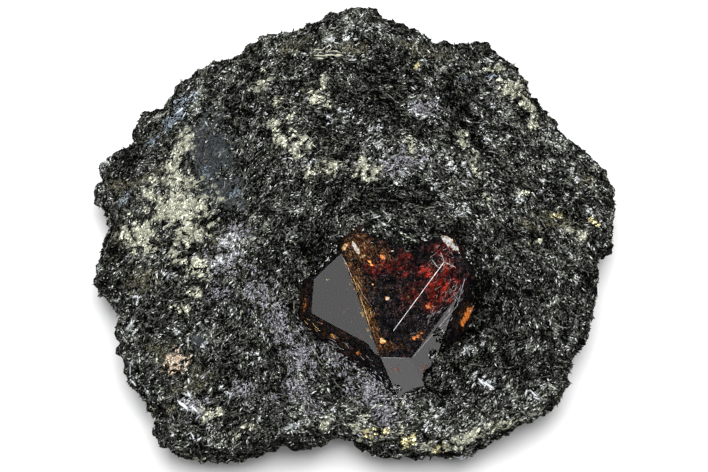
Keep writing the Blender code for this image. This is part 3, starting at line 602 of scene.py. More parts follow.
def schist_finish():
    """Dark fine-grained schist between the flakes: small angular grains of many tones, with thin pale
    edges."""
    f = Finish("biotite_schist_ground")
    small = f.cells(0.16, "F1")
    large = f.cells(0.38, "F1")
    edges = f.cells(0.50, "DISTANCE_TO_EDGE")
    fine = f.noise(0.12, 2.0, 0.6)
    tone = f.ramp(small * 0.65 + large * 0.35, (0.25, (0.02, 0.02, 0.02)), (0.42, (0.12, 0.12, 0.12)),
                  (0.52, (0.60, 0.60, 0.60)), (0.62, (2.2, 2.2, 2.2)), (0.74, (7.0, 7.0, 7.0)))
    tone = f.mix(tone, (0.9, 0.9, 0.9, 1.0), f.attribute("calm", "Fac"))
    colour = f.mix(f.attribute("tint"), tone, 1.0, "MULTIPLY")
    hair = f.spread(edges, 0.05, 0.015) * f.spread(f.noise(0.8, 2.0, 0.5), 0.50, 0.58)
    colour = f.mix(colour, (0.22, 0.22, 0.195, 1.0), hair * 0.7)
    return f.surface(f.principled(
        Base_Color=colour, Roughness=0.75 - small * 0.4, Specular_IOR_Level=0.0,
        Normal=f.bump(small * 0.7 + large * 0.6 + fine * 0.2, 0.22)))


def flake_finish(name, roughness, gloss):
    """Mica flakes, each one a single colour."""
    f = Finish(name)
    fleck = f.noise(0.12, 2.0, 0.6)
    colour = f.mix(f.attribute("tint"), (0.0, 0.0, 0.0, 1.0), fleck * 0.5)
    return f.surface(f.principled(
        Base_Color=colour, Roughness=roughness + fleck * 0.2, Specular_IOR_Level=gloss))


def zircon_finish():
    """Clear, dark red, glassy zircon. Its etched faces have a dull, mottled skin, black, rusty, or red with a
    painted glow of light from inside, with fine painted glints over it, and its edges and pits have pale and
    rusty crusts, some orange and gold spots among them painted glints."""
    f = Finish("zircon_dark_red")
    names = ("etch", "skin", "rust", "glow", "cover")
    etch, skin, rust, glow, cover = (f.attribute(name, "Fac") for name in names)
    pits = f.noise(0.45, 3.0, 0.6)
    fine = f.noise(0.15, 2.0, 0.6)
    cloud = f.noise(0.75, 4.0, 0.7)
    swirl = f.noise(0.55, 3.0, 0.65, stretch=(1.6, 1.0, 1.0), turn=50.0)
    thread = f.noise(0.17, 3.0, 0.65, stretch=(4.5, 1.0, 1.0), turn=-68.0)
    relief = f.bump((pits + fine * 0.35) * etch, 0.03)
    glass = f.principled(
        Base_Color=(1.0, 0.93, 0.9, 1.0), Roughness=etch * (fine * 0.16) + 0.015,
        IOR=1.95, Transmission_Weight=1.0, Normal=relief)
    dark = f.ramp(cloud * 0.7 + fine * 0.3, (0.38, (0.0008, 0.0008, 0.001)), (0.50, (0.002, 0.002, 0.0025)),
                  (0.57, (0.007, 0.0075, 0.009)), (0.64, (0.028, 0.030, 0.033)), (0.74, (0.14, 0.14, 0.13)))
    rusty = f.ramp(thread * 0.7 + fine * 0.3, (0.38, (0.002, 0.001, 0.0007)), (0.49, (0.012, 0.006, 0.0025)),
                   (0.56, (0.06, 0.024, 0.009)), (0.63, (0.22, 0.10, 0.032)), (0.73, (0.72, 0.50, 0.23)))
    # The red painted where light thrown back from inside the crystal glows.
    red = f.ramp(swirl * 0.75 + fine * 0.25, (0.38, (0.006, 0.001, 0.001)), (0.49, (0.03, 0.003, 0.002)),
                 (0.57, (0.11, 0.007, 0.004)), (0.65, (0.27, 0.018, 0.011)), (0.76, (0.55, 0.16, 0.11)))
    colour = f.mix(dark, red, f.spread(glow + cloud * 2.0, 1.12, 1.75))
    colour = f.mix(colour, rusty, f.spread(rust + pits * 2.2, 1.35, 1.85))
    # Fine pale painted glints over the skin, most where it is red or rusty.
    glint = f.noise(0.11, 2.0, 0.6, stretch=(2.2, 1.0, 1.0), turn=45.0)
    glints = f.spread(glint, 0.60, 0.76) * (0.12 + glow * 0.45 + rust * 0.35)
    colour = f.mix(colour, (0.30, 0.26, 0.25, 1.0), glints)
    dull = f.principled(
        Base_Color=colour, Roughness=0.35 + fine * 0.3, Specular_IOR_Level=0.0, Normal=relief)
    body = f.node("ShaderNodeMixShader", None, {0: skin * f.spread(cloud, 0.20, 0.34), 1: glass, 2: dull})
    ragged = f.noise(0.32, 4.0, 0.75)
    # At 0.45 the stain colour is bright orange: with the orange and gold beside it, painted glints of cracks
    # inside.
    stain = f.ramp(f.attribute("stain", "Fac"), (0.0, (0.11, 0.05, 0.04)), (0.3, (0.40, 0.12, 0.02)),
                   (0.45, (0.92, 0.24, 0.02)), (0.6, (0.70, 0.38, 0.08)), (0.8, (0.66, 0.54, 0.30)),
                   (1.0, (0.42, 0.41, 0.39)))
    crust_and_glint_colour = f.mix(stain, (0.02, 0.01, 0.006, 1.0), f.spread(f.noise(0.22, 3.0, 0.7), 0.42, 0.66))
    crust = f.principled(
        Base_Color=crust_and_glint_colour, Roughness=0.45 + fine * 0.3, Normal=f.bump(ragged, 0.15))
    crusted = f.spread(ragged + cover * 0.42, 0.70, 0.80)
    face = f.node("ShaderNodeMixShader", None, {0: crusted, 1: body, 2: crust})
    haze = f.node("ShaderNodeVolumeAbsorption", None, {"Color": (0.86, 0.14, 0.04, 1.0), "Density": 1500.0})
    return f.surface(face, haze)


def veil_finish():
    """Cracks inside the crystal that throw back light, in orange, gold and red."""
    f = Finish("zircon_cracks")
    fleck = f.noise(0.2, 2.0, 0.6)
    colour = f.mix(f.attribute("tint"), (0.06, 0.01, 0.004, 1.0), fleck * 0.7)
    return f.surface(f.principled(Base_Color=colour, Roughness=0.3 + fleck * 0.2, Metallic=0.25))


def scratch_finish():
    """The pale lips of cracks that reach the surface, and painted highlights along the crystal's ridge and
    edges.
    """
    f = Finish("zircon_pale_cracks_and_edge_highlights")
    fleck = f.noise(0.25, 2.0, 0.6)
    colour = f.mix(f.attribute("tint"), (0.10, 0.07, 0.06, 1.0), f.spread(fleck, 0.45, 0.75))
    return f.surface(f.principled(Base_Color=colour, Roughness=0.3 + fleck * 0.2))


def floor_finish():
    f = Finish("studio_paper")
    grain = f.noise(3.0, 2.0, 0.5)
    return f.surface(f.principled(
        Base_Color=(0.64, 0.64, 0.64, 1.0), Roughness=0.9, Normal=f.bump(grain, 0.01),
        Specular_IOR_Level=0.1))


# ---------------------------------------------------------------- meshes

def edit_all(obj, tool, **settings):
    """Runs one of Blender's mesh tools on the whole of an object."""
    bpy.context.view_layer.objects.active = obj
    obj.select_set(True)
    bpy.ops.object.mode_set(mode="EDIT")
    bpy.ops.mesh.select_all(action="SELECT")
    tool(**settings)
    bpy.ops.object.mode_set(mode="OBJECT")
    obj.select_set(False)


def copy_of(node, name):
    """A copy of a CAD node, whose loose triangles are merged."""
    twin = bpy.data.objects.new(name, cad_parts[node].data.copy())
    bpy.context.scene.collection.objects.link(twin)
    edit_all(twin, bpy.ops.mesh.remove_doubles, threshold=0.002 * MM)
    twin.data.materials.clear()
    return twin


def add_modifier(obj, kind, **settings):
    """Adds a modifier and applies it."""
    modifier = obj.modifiers.new(kind.title(), kind)
    for name, value in settings.items():
        setattr(modifier, name, value)
    bpy.context.view_layer.objects.active = obj
    bpy.ops.object.modifier_apply(modifier=modifier.name)


def read_vertices(mesh, what="co"):
    out = np.empty(len(mesh.vertices) * 3)
    source = mesh.vertices if what == "co" else mesh.vertex_normals
    source.foreach_get("co" if what == "co" else "vector", out)
    return out.reshape(-1, 3)


def write_colours(mesh, name, colours):
    layer = mesh.attributes.new(name, "FLOAT_COLOR", "POINT")
    layer.data.foreach_set("color", np.column_stack((colours, np.ones(len(colours)))).ravel())


def write_values(mesh, name, values):
    mesh.attributes.new(name, "FLOAT", "POINT").data.foreach_set("value", values)


def tree_of(obj):
    """A search tree of an object's faces, in mm."""
    mesh = obj.data
    return BVHTree.FromPolygons([v.co / MM for v in mesh.vertices], [p.vertices[:] for p in mesh.polygons])


def shingles(points, size):
    """Overlapping scales of that size: each tips its own way, so their edges stand as small steps."""
    heights = np.empty(len(points))
    for i, place in enumerate((np.asarray(points) / size).tolist()):
        near = noise.voronoi(place)[1][0]
        tip = noise.cell_vector(near * 50.0)
        heights[i] = (Vector(place) - near).dot(tip - Vector((0.5, 0.5, 0.5)))
    return heights


def rock_relief(points):
    """How far the rock's surface stands out, in mm: scales, crumbs and grit."""
    warp = np.column_stack([noise_at(points, 2.0, 41 + i) for i in range(3)]) * 0.5
    return (0.62 * shingles(points + warp, 1.9) + 0.34 * shingles(points + warp, 0.95)
            + 0.22 * noise_at(points, 1.4, 21) + 0.10 * noise_at(points, 0.6, 22)
            + 0.30 * streaks(points, 3.6, 0.85, 25))


def map_rock(mesh):
    """The rock's flat map: its top and its base seen straight on, and its sides unrolled."""
    count, corners = len(mesh.polygons), len(mesh.loops)
    numbers = {}
    for name, size in (("normal", 3), ("center", 3), ("loop_total", 1)):
        numbers[name] = np.empty(count * size, dtype=np.int32 if size == 1 else np.float32)
        mesh.polygons.foreach_get(name, numbers[name])
    vertex = np.empty(corners, dtype=np.int32)
    mesh.loops.foreach_get("vertex_index", vertex)
    face = np.repeat(np.arange(count), numbers["loop_total"])
    up = numbers["normal"].reshape(-1, 3)[face, 2]
    centre = numbers["center"].reshape(-1, 3)[face] / MM
    x, y, z = (read_vertices(mesh) / MM)[vertex].T
    middle = np.arctan2(centre[:, 1], centre[:, 0])
    turn = middle + (np.arctan2(y, x) - middle + math.pi) % (2 * math.pi) - math.pi
    top = (up > 0.1) | (centre[:, 2] > RIM - 0.5)
    base = (up < -0.3) & (centre[:, 2] < 3.0)
    u, v = 0.5 + 0.96 * turn / (2 * math.pi), 0.02 + 0.32 * z / SIDE_HEIGHT
    for faces, (middle_u, middle_v, scale) in ((base, BASE_ON_MAP), (top, TOP_ON_MAP)):
        u = np.where(faces, middle_u + scale * x / MAP_REACH, u)
        v = np.where(faces, middle_v + scale * y / MAP_REACH, v)
    write_map(mesh, np.column_stack((u, v)))


def make_rock(crystal_tree):
    """The rock: the CAD solid in a finer mesh, with its small relief, closed up to the crystal."""
    rock = copy_of(ROCK_NODE, "schist_rock")
    add_modifier(rock, "REMESH", mode="VOXEL", voxel_size=VOXEL * MM)
    mesh = rock.data
    points = read_vertices(mesh) / MM
    normals = read_vertices(mesh, "normal")
    off_crystal = np.hypot(points[:, 0] - CRYSTAL_MIDDLE[0], points[:, 1] - CRYSTAL_MIDDLE[1])
    slate = patch_mask(PATCHES["slate"], folded_out(points), patch_edge(points))
    strength = smooth(0.15, 1.5, points[:, 2]) * (1.0 - 0.75 * slate) * (1.35 - 0.5 * np.abs(normals[:, 2]))
    new = points + normals * (rock_relief(points) * strength)[:, None]
    for i in np.flatnonzero(off_crystal < CRYSTAL_REACH):
        place, normal, _, _ = crystal_tree.find_nearest(Vector(points[i]), SEAM_REACH)
        if place is not None:
            new[i] = np.array(place + normal * SEAM)
    new[:, 2] = np.maximum(new[:, 2], 0.0)
    mesh.vertices.foreach_set("co", (new * MM).ravel())
    mesh.update()
    masks = mineral_light_and_shade_masks(new)
    write_colours(mesh, "tint", ground_tints(new, masks))
    write_values(mesh, "calm", np.maximum(0.85 * slate, 0.75 * np.maximum(masks["cream"], masks["tan"])))
    mesh.materials.append(schist_finish())
    mesh.shade_smooth()
    map_rock(mesh)
    return rock


def clusters_light_and_shade(points):
    """Where the mica is lighter or darker, in natural logarithms: knots, clots and streaks, and the broad
    areas of painted light, painted shade and tone.
    """
    return (-0.14 + 0.73 * noise_at(points, 0.5, 31) + 1.15 * noise_at(points, 1.3, 33)
            + 1.0 * noise_at(points, 4.5, 32) + 1.05 * streaks(points, 1.6, 0.45, 36)
            + sum(soft_masks(LIGHT_SHADE_AND_TONES, folded_out(points))))


def ground_tints(points, masks):
    """The rock's colour under its flakes, with the painted light and shade of the broad tones and dark
    patches, and the painted glints of the white ones.
    """
    light = np.exp(clusters_light_and_shade(points) - SHADE_AND_DARK_LOSS * masks["dark"])
    colours = np.minimum(0.013 * light, 0.06)[:, None] * np.array((0.97, 1.0, 0.88))
    for kind, colour, share in GROUNDS:
        mask = (masks[kind] * share)[:, None]
        colours = colours * (1 - mask) + np.array(colour) * mask
    return colours


def surface_points(obj, rng):
    """One random place, in mm, on each triangle of an object, with the triangle's normal."""
    mesh = obj.data
    mesh.calc_loop_triangles()
    corners = np.empty(len(mesh.loop_triangles) * 3, dtype=np.int64)
    mesh.loop_triangles.foreach_get("vertices", corners)
    a, b, c = (read_vertices(mesh)[corners.reshape(-1, 3)[:, i]] / MM for i in range(3))
    u = np.sqrt(rng.random(len(a)))[:, None]
    v = rng.random(len(a))[:, None]
    return a * (1 - u) + b * u * (1 - v) + c * u * v, unit(np.cross(b - a, c - a))


def write_map(mesh, places):
    """The flat map that the piece's colours are drawn on when they become a picture."""
    layer = mesh.uv_layers.new(name=MAP_NAME)
    layer.data.foreach_set("uv", np.asarray(places, dtype=np.float32).ravel())


def places_in_cells(cells, places):
    """The square map is cut into square cells, one for each small thing; places are 0 to 1 in the cell."""
    side = math.ceil(math.sqrt(cells.max() + 1))
    corner = np.column_stack((cells % side, cells // side))
    return (corner + 0.04 + 0.92 * np.asarray(places)) / side


def near_place(x, y, reach, rng):
    """A random place in plan, within reach of another."""
    out, angle = reach * math.sqrt(rng.random()), rng.uniform(0, 2 * math.pi)
    return x + out * math.cos(angle), y + out * math.sin(angle)


def drop_on(tree, x, y):
    """Where a line straight down at x, y first meets a search tree, and the normal there; else None."""
    place, normal, _, _ = tree.ray_cast(Vector((x, y, ABOVE)), Vector((0, 0, -1)))
    return place, normal


def add_object(name, vertices, loops, face_starts, tints, finish, cells, places):
    """A mesh object from arrays of places in mm, with a colour at each vertex, and at each corner of a
    face its cell on the flat map and its place there."""
    mesh = bpy.data.meshes.new(name)
    mesh.vertices.add(len(vertices))
    mesh.vertices.foreach_set("co", (vertices * MM).ravel())
    mesh.loops.add(len(loops))
    mesh.loops.foreach_set("vertex_index", loops)
    mesh.polygons.add(len(face_starts))
    mesh.polygons.foreach_set("loop_start", face_starts)
    mesh.update(calc_edges=True)
    write_map(mesh, places_in_cells(cells, places))
    mesh.validate()
    write_colours(mesh, "tint", tints)
    mesh.materials.append(finish)
    obj = bpy.data.objects.new(name, mesh)
    bpy.context.scene.collection.objects.link(obj)
    return obj


def star_places(sides):
    """Where the corners of a small scale's faces lie in its cell: its top in the middle, and around it the
    faces that run down to its point."""
    turns = (np.arange(sides) + 0.5) * 2 * math.pi / sides
    rim = 0.5 + 0.28 * np.column_stack((np.cos(turns), np.sin(turns)))
    turns = turns + math.pi / sides
    tips = 0.5 + 0.48 * np.column_stack((np.cos(turns), np.sin(turns)))
    spread = list(rim)
    for k in range(sides):
        spread += [rim[(k + 1) % sides], rim[k], tips[k]]
    return np.array(spread)


def scale_mesh(name, sides, vertices, tints, finish):
    """Many closed scales in one mesh, each with a colour. The vertices of a scale are its top's corners,
    then its point below."""
    count = len(tints)
    pattern = list(range(sides))
    for k in range(sides):
        pattern += [(k + 1) % sides, k, sides]
    starts = [0] + [sides + 3 * k for k in range(sides)]
    scales = np.arange(count)[:, None]
    loops = (scales * (sides + 1) + np.array(pattern)).ravel()
    face_starts = (scales * len(pattern) + np.array(starts)).ravel()
    return add_object(name, vertices, loops, face_starts, np.repeat(tints, sides + 1, axis=0), finish,
                      np.repeat(np.arange(count), len(pattern)), np.tile(star_places(sides), (count, 1)))


def flake_mesh(name, places, normals, along, sizes, tints, rng, tilt, finish):
    """Many closed flakes in one mesh: each has a tilted top with four corners, and a point in the rock."""
    count = len(places)
    lean = rng.normal(0.0, 1.0, (count, 3)) * tilt[:, None]
    top = unit(normals + lean)
    long_side = unit(along - top * (along * top).sum(1, keepdims=True))
    short_side = np.cross(top, long_side)
    half_length, half_width, lift = (sizes[:, i:i + 1] for i in range(3))
    centre = places + normals * lift
    ends = ((1.0, 0.25), (-0.25, 1.0), (-1.0, -0.25), (0.25, -1.0))
    corners = []
    for a, b in ends:
        stretch = rng.uniform(0.55, 1.35, (count, 1))
        slide = rng.uniform(-0.4, 0.4, (count, 1))
        corners.append(centre + long_side * half_length * (a * stretch + slide * abs(b) * 0.8)
                       + short_side * half_width * (b * stretch + slide * abs(a) * 0.8))
    point = places - normals * (0.6 * half_width + 0.10)
    vertices = np.stack(corners + [point], axis=1).reshape(-1, 3)
    return scale_mesh(name, len(ends), vertices, tints, finish)


def flake_tints(points, rng):
    """Each flake's colour, the kind of mica it is, and how much it tips; the colours carry painted glints,
    sheen, light and shade.
    """
    count = len(points)
    masks = mineral_light_and_shade_masks(points)
    places, values = zip(*BIOTITE_TONES_AND_GLINTS)
    light = np.interp(rng.random(count), places, values) + clusters_light_and_shade(points) - SHADE_AND_DARK_LOSS * masks["dark"]
    light = np.exp(np.minimum(light, -0.08))
    quiet = masks["slate"] * 0.84 > rng.random(count)
    light = np.where(quiet, 0.03 + 0.06 * rng.random(count) ** 2, light)
    warm = rng.normal(0.0, 1.0, count)
    # The lightest flakes, painted glints, are less yellow.
    blue = np.where(light > 0.3, 0.95, 0.80) + 0.07 * warm
    colours = light[:, None] * np.column_stack((0.95 + 0.03 * warm, np.ones(count), blue))
    kinds = np.where(light > 0.22, SILVER, BIOTITE)
    for kind, share, low, high, number in GROWTHS:
        hit = masks[kind] * share > rng.random(count)
        t = rng.random(count)[:, None] ** 0.7
        colours = np.where(hit[:, None], np.array(low) * (1 - t) + np.array(high) * t, colours)
        kinds = np.where(hit, number, kinds)
    tilt = 0.30 - 0.16 * masks["slate"]
    return np.clip(colours, 0.001, 0.95), kinds, tilt


def lap_places(crystal_tree, rng):
    """Places in mm, with normals, of the crumbs that lap over the crystal, two or three deep."""
    places, normals = [], []
    for x, y, half_length, half_width, turn in LAPS:
        c, s = math.cos(math.radians(turn)), math.sin(math.radians(turn))
        for _ in range(int(half_length * half_width * LAP_CRUMBS)):
            out, angle = math.sqrt(rng.random()) * rng.uniform(0.75, 1.12), rng.uniform(0, 2 * math.pi)
            u, v = half_length * out * math.cos(angle), half_width * out * math.sin(angle)
            place, normal = drop_on(crystal_tree, x + u * c - v * s, y + u * s + v * c)
            if place is not None:
                places.append(place + normal * rng.uniform(0.0, 0.35) * (1.1 - out))
                normals.append(normal)
    return np.array(places), np.array(normals)


def make_flakes(rock, crystal_tree):
    """All the flakes on the rock, in pieces by kind of mica."""
    rng = np.random.default_rng(SEED)
    places, normals = [], []
    for top_share, side_share, base_share in FLAKE_SHARES:
        p, n = surface_points(rock, rng)
        share = np.where(n[:, 2] > 0.25, top_share, np.where(n[:, 2] > -0.35, side_share, base_share))
        keep = (rng.random(len(p)) < share) & (p[:, 2] > 0.25)
        places.append(p[keep])
        normals.append(n[keep])
    p, n = lap_places(crystal_tree, rng)
    places, normals = np.vstack(places + [p]), np.vstack(normals + [n])
    count = len(places)
    along = foliation(places)
    turned = np.column_stack((-along[:, 1], along[:, 0], rng.normal(0.0, 0.6, count)))
    along = unit(along + turned * rng.normal(0.0, 0.38, count)[:, None])
    tints, kinds, tilt = flake_tints(places, rng)
    thin = (kinds == PALE) & (tints[:, 2] < 0.86 * tints[:, 0]) & (rng.random(count) < 0.5)
    places, normals, along, tints, kinds, tilt = (
        values[~thin] for values in (places, normals, along, tints, kinds, tilt))
    count = len(places)
    bold = rng.random(count) ** 4
    sizes = np.column_stack((0.06 + 0.09 * rng.random(count) + 0.38 * bold,
                             0.024 + 0.036 * rng.random(count) + 0.065 * bold,
                             0.01 + 0.07 * rng.random(count)))
    sizes[kinds == PALE] *= (1.25, 2.2, 1.0)
    sizes *= (0.48 + 0.52 * smooth(0.0, 0.6, normals[:, 2]))[:, None]
    tilt = tilt * (0.5 + 0.5 * smooth(0.1, 0.6, normals[:, 2]))
    pieces = []
    for number, (name, finish_name, roughness, gloss) in enumerate(FLAKE_KINDS):
        finish = flake_finish(finish_name, roughness, gloss)
        chosen = np.flatnonzero(kinds == number)
        for part, some in enumerate(np.array_split(chosen, 1 + len(chosen) // FLAKES_A_PIECE)):
            pieces.append(flake_mesh(f"{name}_{part + 1}", places[some], normals[some], along[some],
                                     sizes[some], tints[some], rng, tilt[some], finish))
    return pieces


def etch_relief(points, rough):
    """How far the etched faces stand out, in mm: low swells, and pits and grain where they are rough."""
    pits = smooth(0.25, 0.8, noise_at(points, 0.8, 51)) + 0.5 * smooth(0.2, 0.7, noise_at(points, 0.45, 52))
    return (0.03 * noise_at(points, 3.0, 53) - (0.010 + 0.05 * rough) * pits
            + (0.002 + 0.018 * rough) * noise_at(points, 0.5, 54))


def cut_finely(mesh, step):
    """Cuts the crystal's upper faces into small squares."""
    bm = bmesh.new()
    bm.from_mesh(mesh)
    chosen = [f for f in bm.faces if f.normal.z > 0.25]
    low = [min(v.co[i] for f in chosen for v in f.verts) for i in range(2)]
    high = [max(v.co[i] for f in chosen for v in f.verts) for i in range(2)]
    for axis in range(2):
        for k in range(1, int((high[axis] - low[axis]) / (step * MM))):
            cut = Vector((0, 0, 0))
            cut[axis] = low[axis] + k * step * MM
            faces = [f for f in bm.faces if f.normal.z > 0.25]
            edges = list({e for f in faces for e in f.edges})
            bmesh.ops.bisect_plane(bm, geom=faces + edges, dist=0.001 * MM, plane_co=cut,
                                   plane_no=Vector((1 - axis, axis, 0)))
    bm.to_mesh(mesh)
    bm.free()


def make_crystal():
    """The crystal: flat glassy side faces, softened edges, and etched faces that look up."""
    crystal = copy_of(CRYSTAL_NODE, "zircon")
    mesh = crystal.data
    edit_all(crystal, bpy.ops.mesh.dissolve_limited, angle_limit=math.radians(1.0))
    add_modifier(crystal, "BEVEL", width=SOFT_EDGE * MM, segments=2, limit_method="ANGLE",
                 angle_limit=math.radians(9))
    cut_finely(mesh, ETCH_STEP)
    points = read_vertices(mesh) / MM
    normals = read_vertices(mesh, "normal")
    etched = np.ones(len(points), dtype=bool)
    steep = np.ones(len(points), dtype=bool)
    for polygon in mesh.polygons:
        corners = list(polygon.vertices)
        if polygon.normal.z < 0.95:
            etched[corners] = False
        if polygon.normal.z > 0.6:
            steep[corners] = False
    edge = noise_at(points, 0.7, 61, 2) * 0.7
    rough = patch_mask(ROUGH, points, edge) * etched
    relief = etch_relief(points, rough) * etched
    mesh.vertices.foreach_set("co", ((points + normals * relief[:, None]) * MM).ravel())
    mesh.update()
    top = np.minimum(1.0, normals[:, 2] * 12.0 - 10.6) * (normals[:, 2] > 0.9)
    write_values(mesh, "etch", np.maximum(rough, 0.35 * etched))
    write_values(mesh, "skin", 1.0 * top + 0.85 * steep)
    write_values(mesh, "rust", strongest(RUST, points))
    write_values(mesh, "glow", strongest(PAINTED_GLOW, points))
    cover = np.zeros(len(points))
    stain = np.zeros(len(points))
    for *patch, share, colour in STAINS_AND_GLINTS:
        mask = patch_mask((patch,), points, edge) * share
        stain = np.where(mask > cover, colour, stain)
        cover = np.maximum(cover, mask)
    write_values(mesh, "cover", cover)
    write_values(mesh, "stain", stain)
    mesh.materials.append(zircon_finish())
    return crystal


def make_veils(crystal_tree):
    """Thin cracks inside the crystal, near its faces, as closed six-sided scales."""
    rng = np.random.default_rng(SEED + 1)
    vertices, tints = [], []
    for x, y, reach, number, size, shallow, deep, colour in VEILS:
        for _ in range(number):
            place, normal = drop_on(crystal_tree, *near_place(x, y, reach, rng))
            if place is None:
                continue
            half = size * rng.uniform(0.35, 1.0)
            lean = Vector(rng.normal(0.0, 0.35, 3))
            up = (normal + lean).normalized()
            depth = rng.uniform(shallow, deep) + half * math.sqrt(max(0.0, 1.0 - up.dot(normal) ** 2))
            side = up.orthogonal().normalized()
            other = up.cross(side)
            centre = place - normal * depth
            turn = rng.uniform(0, math.pi)
            narrow = rng.uniform(0.3, 0.9)
            for k in range(VEIL_SIDES):
                a = turn + k * 2 * math.pi / VEIL_SIDES
                r = half * rng.uniform(0.55, 1.1)
                vertices.append(centre + side * r * math.cos(a) + other * r * narrow * math.sin(a))
            vertices.append(centre - up * VEIL_DEPTH)
            tints.append(np.array(VEIL_COLOURS[colour]) * rng.uniform(0.5, 1.0))
    return scale_mesh("zircon_inner_cracks", VEIL_SIDES, np.array(vertices), np.array(tints), veil_finish())


def short_paths(field, rng):
    """Short bent paths, scattered about a place."""
    x, y, reach, number, length, turn, spread, width, colour = field
    for _ in range(number):
        cx, cy = near_place(x, y, reach, rng)
        a = math.radians(turn + rng.uniform(-spread, spread))
        bend = rng.uniform(-0.25, 0.25)
        half = length * rng.uniform(0.3, 1.0) / 2
        dx, dy = half * math.cos(a), half * math.sin(a)
        path = ((cx - dx, cy - dy), (cx - bend * dy, cy + bend * dx), (cx + dx, cy + dy))
        yield path, width * rng.uniform(0.5, 1.0), colour


# Where the corners of a rod's two end faces lie in its cell on the flat map.
END_SPOTS = (
    (0.0, 0.0), (0.0, 0.9), (0.06, 0.9), (0.06, 0.0), (0.94, 0.0), (0.94, 0.9), (1.0, 0.9), (1.0, 0.0),
)


def rods(name, paths, colours, tree, least_up, height, rng, finish):
    """Thin closed rods that follow the faces of a search tree, along paths seen from above."""
    vertices, loops, starts, tints, cells, spots = [], [], [], [], [], []
    count = 0
    for path, width, colour in paths:
        places = [path[0]]
        for (x0, y0), (x1, y1) in zip(path, path[1:]):
            steps = max(1, int(math.hypot(x1 - x0, y1 - y0) / ROD_STEP))
            for k in range(1, steps + 1):
                places.append((x0 + (x1 - x0) * k / steps, y0 + (y1 - y0) * k / steps))
        first = len(vertices)
        direction = Vector((path[-1][0] - path[0][0], path[-1][1] - path[0][1], 0)).normalized()
        side = Vector((-direction.y, direction.x, 0))
        rings = 0
        for k, (x, y) in enumerate(places):
            place, normal = drop_on(tree, x, y)
            if place is None or normal.z < least_up:
                break
            half = width / 2 * rng.uniform(0.6, 1.2) * (0.55 + 0.45 * k / len(places))
            if k in (0, len(places) - 1):
                half *= 0.35
            crest = height + 0.4 * max(0.0, width - 0.1)
            vertices += [place + side * half, place + normal * crest]
            vertices += [place - side * half, place - normal * ROD_ROOT]
            rings += 1
        if rings < 2:
            del vertices[first:]
            continue
        dim = 1.0 if colour in ("white", "cream") else rng.uniform(0.4, 1.0)
        tints += [np.array(colours[colour]) * dim] * (4 * rings)
        last = first + 4 * (rings - 1)
        faces = [(first, first + 1, first + 2, first + 3), (last + 3, last + 2, last + 1, last)]
        spots += END_SPOTS
        for k in range(rings - 1):
            b = first + 4 * k
            faces += [(b + j, b + 4 + j, b + 4 + (j + 1) % 4, b + (j + 1) % 4) for j in range(4)]
            u, v = (0.1 + 0.8 * i / (rings - 1) for i in (k, k + 1))
            for j in range(4):
                spots += [(u, j / 4), (v, j / 4), (v, (j + 1) / 4), (u, (j + 1) / 4)]
        cells += [count] * (4 * len(faces))
        count += 1
        for face in faces:
            starts.append(len(loops))
            loops.extend(face)
    return add_object(name, np.array(vertices), loops, starts, np.array(tints), finish,
                      np.array(cells), spots)


def make_cracks(crystal_tree):
    """Pale cracks on the crystal's top, and painted highlights on its ridge and edges."""
    rng = np.random.default_rng(SEED + 2)
    paths = list(CRACKS_AND_EDGE_HIGHLIGHTS)
    for field in CRACK_FIELDS:
        paths += short_paths(field, rng)
    return rods("zircon_pale_cracks_and_edge_highlights", paths, CRACK_COLOURS, crystal_tree, 0.3, 0.04, rng, scratch_finish())


def make_blades(rock, finish):
    """Long blades of pale mineral on the rock, and many edges of mica, thin as hairs, that follow the
    foliation."""
    rng = np.random.default_rng(SEED + 3)
    paths = list(BLADES)
    places = [rng.uniform(-reach, reach, HAIRS) for reach in HAIR_REACH]
    along = foliation(np.column_stack(places + [np.full(HAIRS, RIM + 2.0)]))
    turns = np.degrees(np.arctan2(along[:, 1], along[:, 0]))
    for x, y, turn in zip(places[0].tolist(), places[1].tolist(), turns):
        if math.hypot(x - CRYSTAL_MIDDLE[0], y - CRYSTAL_MIDDLE[1]) > HAIRS_CLEAR:
            colour = rng.choice(("hair", "hair", "grey"))
            hair = (x, y, 0.0, 1, HAIR_LENGTH, turn, HAIR_SPREAD, HAIR_WIDTH, colour)
            paths += short_paths(hair, rng)
    return rods("mica_blades", paths, BLADE_COLOURS, tree_of(rock), 0.3, 0.10, rng, finish)


# ---------------------------------------------------------------- stage

TARGET = Vector((0.11, -0.11, 9.0)) * MM
DISTANCE = 339 * MM
VIEW_ELEVATION = math.radians(80)


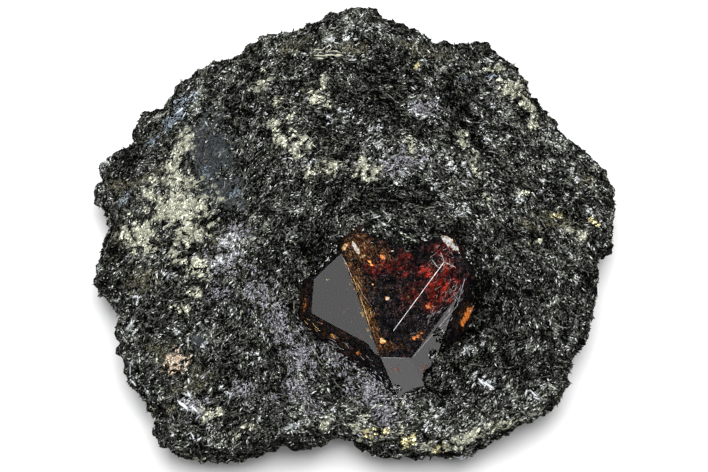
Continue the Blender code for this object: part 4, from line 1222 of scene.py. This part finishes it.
def make_camera():
    data = bpy.data.cameras.new("camera")
    data.lens = 150
    data.sensor_width = 36
    camera = bpy.data.objects.new("camera", data)
    camera.location = TARGET + DISTANCE * Vector((0, -math.cos(VIEW_ELEVATION), math.sin(VIEW_ELEVATION)))
    camera.rotation_euler = (math.pi / 2 - VIEW_ELEVATION, 0, 0)
    data.clip_start = 10 * MM
    bpy.context.scene.collection.objects.link(camera)
    bpy.context.scene.camera = camera


def add_light(name, azimuth, elevation, distance, size, power):
    """A square soft light that looks at the rock; azimuth 0 is +X and 90 is +Y."""
    data = bpy.data.lights.new(name, "AREA")
    data.size = size * MM
    data.energy = power
    light = bpy.data.objects.new(name, data)
    a, e = math.radians(azimuth), math.radians(elevation)
    way = Vector((math.cos(a) * math.cos(e), math.sin(a) * math.cos(e), math.sin(e)))
    light.location = TARGET + distance * MM * way
    light.rotation_euler = (TARGET - light.location).to_track_quat("-Z", "Y").to_euler()
    bpy.context.scene.collection.objects.link(light)


def make_stage():
    bpy.ops.mesh.primitive_plane_add(size=4.0, location=(0, 0, 0))
    floor = bpy.context.object
    floor.name = "floor"
    floor.data.materials.append(floor_finish())
    add_light("key", 85, 86.5, 600, 230, 7.1)
    world = bpy.data.worlds.new("studio")
    bpy.context.scene.world = world
    world.use_nodes = True
    f = Finish("studio", world.node_tree)
    way = f.node("ShaderNodeTexCoord", output="Generated")
    up = f.node("ShaderNodeSeparateXYZ", None, {0: way}, output="Z")
    back = f.node("ShaderNodeSeparateXYZ", None, {0: way}, output="Y")
    sky = f.ramp(up, (0.0, (1.0, 1.0, 1.0)), (0.40, (0.95, 0.95, 0.95)), (0.72, (0.22, 0.22, 0.23)),
                 (0.84, (0.025, 0.028, 0.033)))
    light = f.node("ShaderNodeBackground", None, {"Color": sky, "Strength": 0.88 - back * 0.30})
    f.node("ShaderNodeOutputWorld", None, {"Surface": light})
    bpy.context.scene.view_settings.view_transform = "Standard"


make_camera()
make_stage()
crystal = make_crystal()
crystal_tree = tree_of(crystal)
rock = make_rock(crystal_tree)
flakes = make_flakes(rock, crystal_tree)
blades = make_blades(rock, flakes[-1].data.materials[0])
for piece in [rock, blades] + flakes:
    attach(piece, "root")
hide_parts(ROCK_NODE)
for piece in (crystal, make_veils(crystal_tree), make_cracks(crystal_tree)):
    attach(piece, "root")
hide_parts(CRYSTAL_NODE)
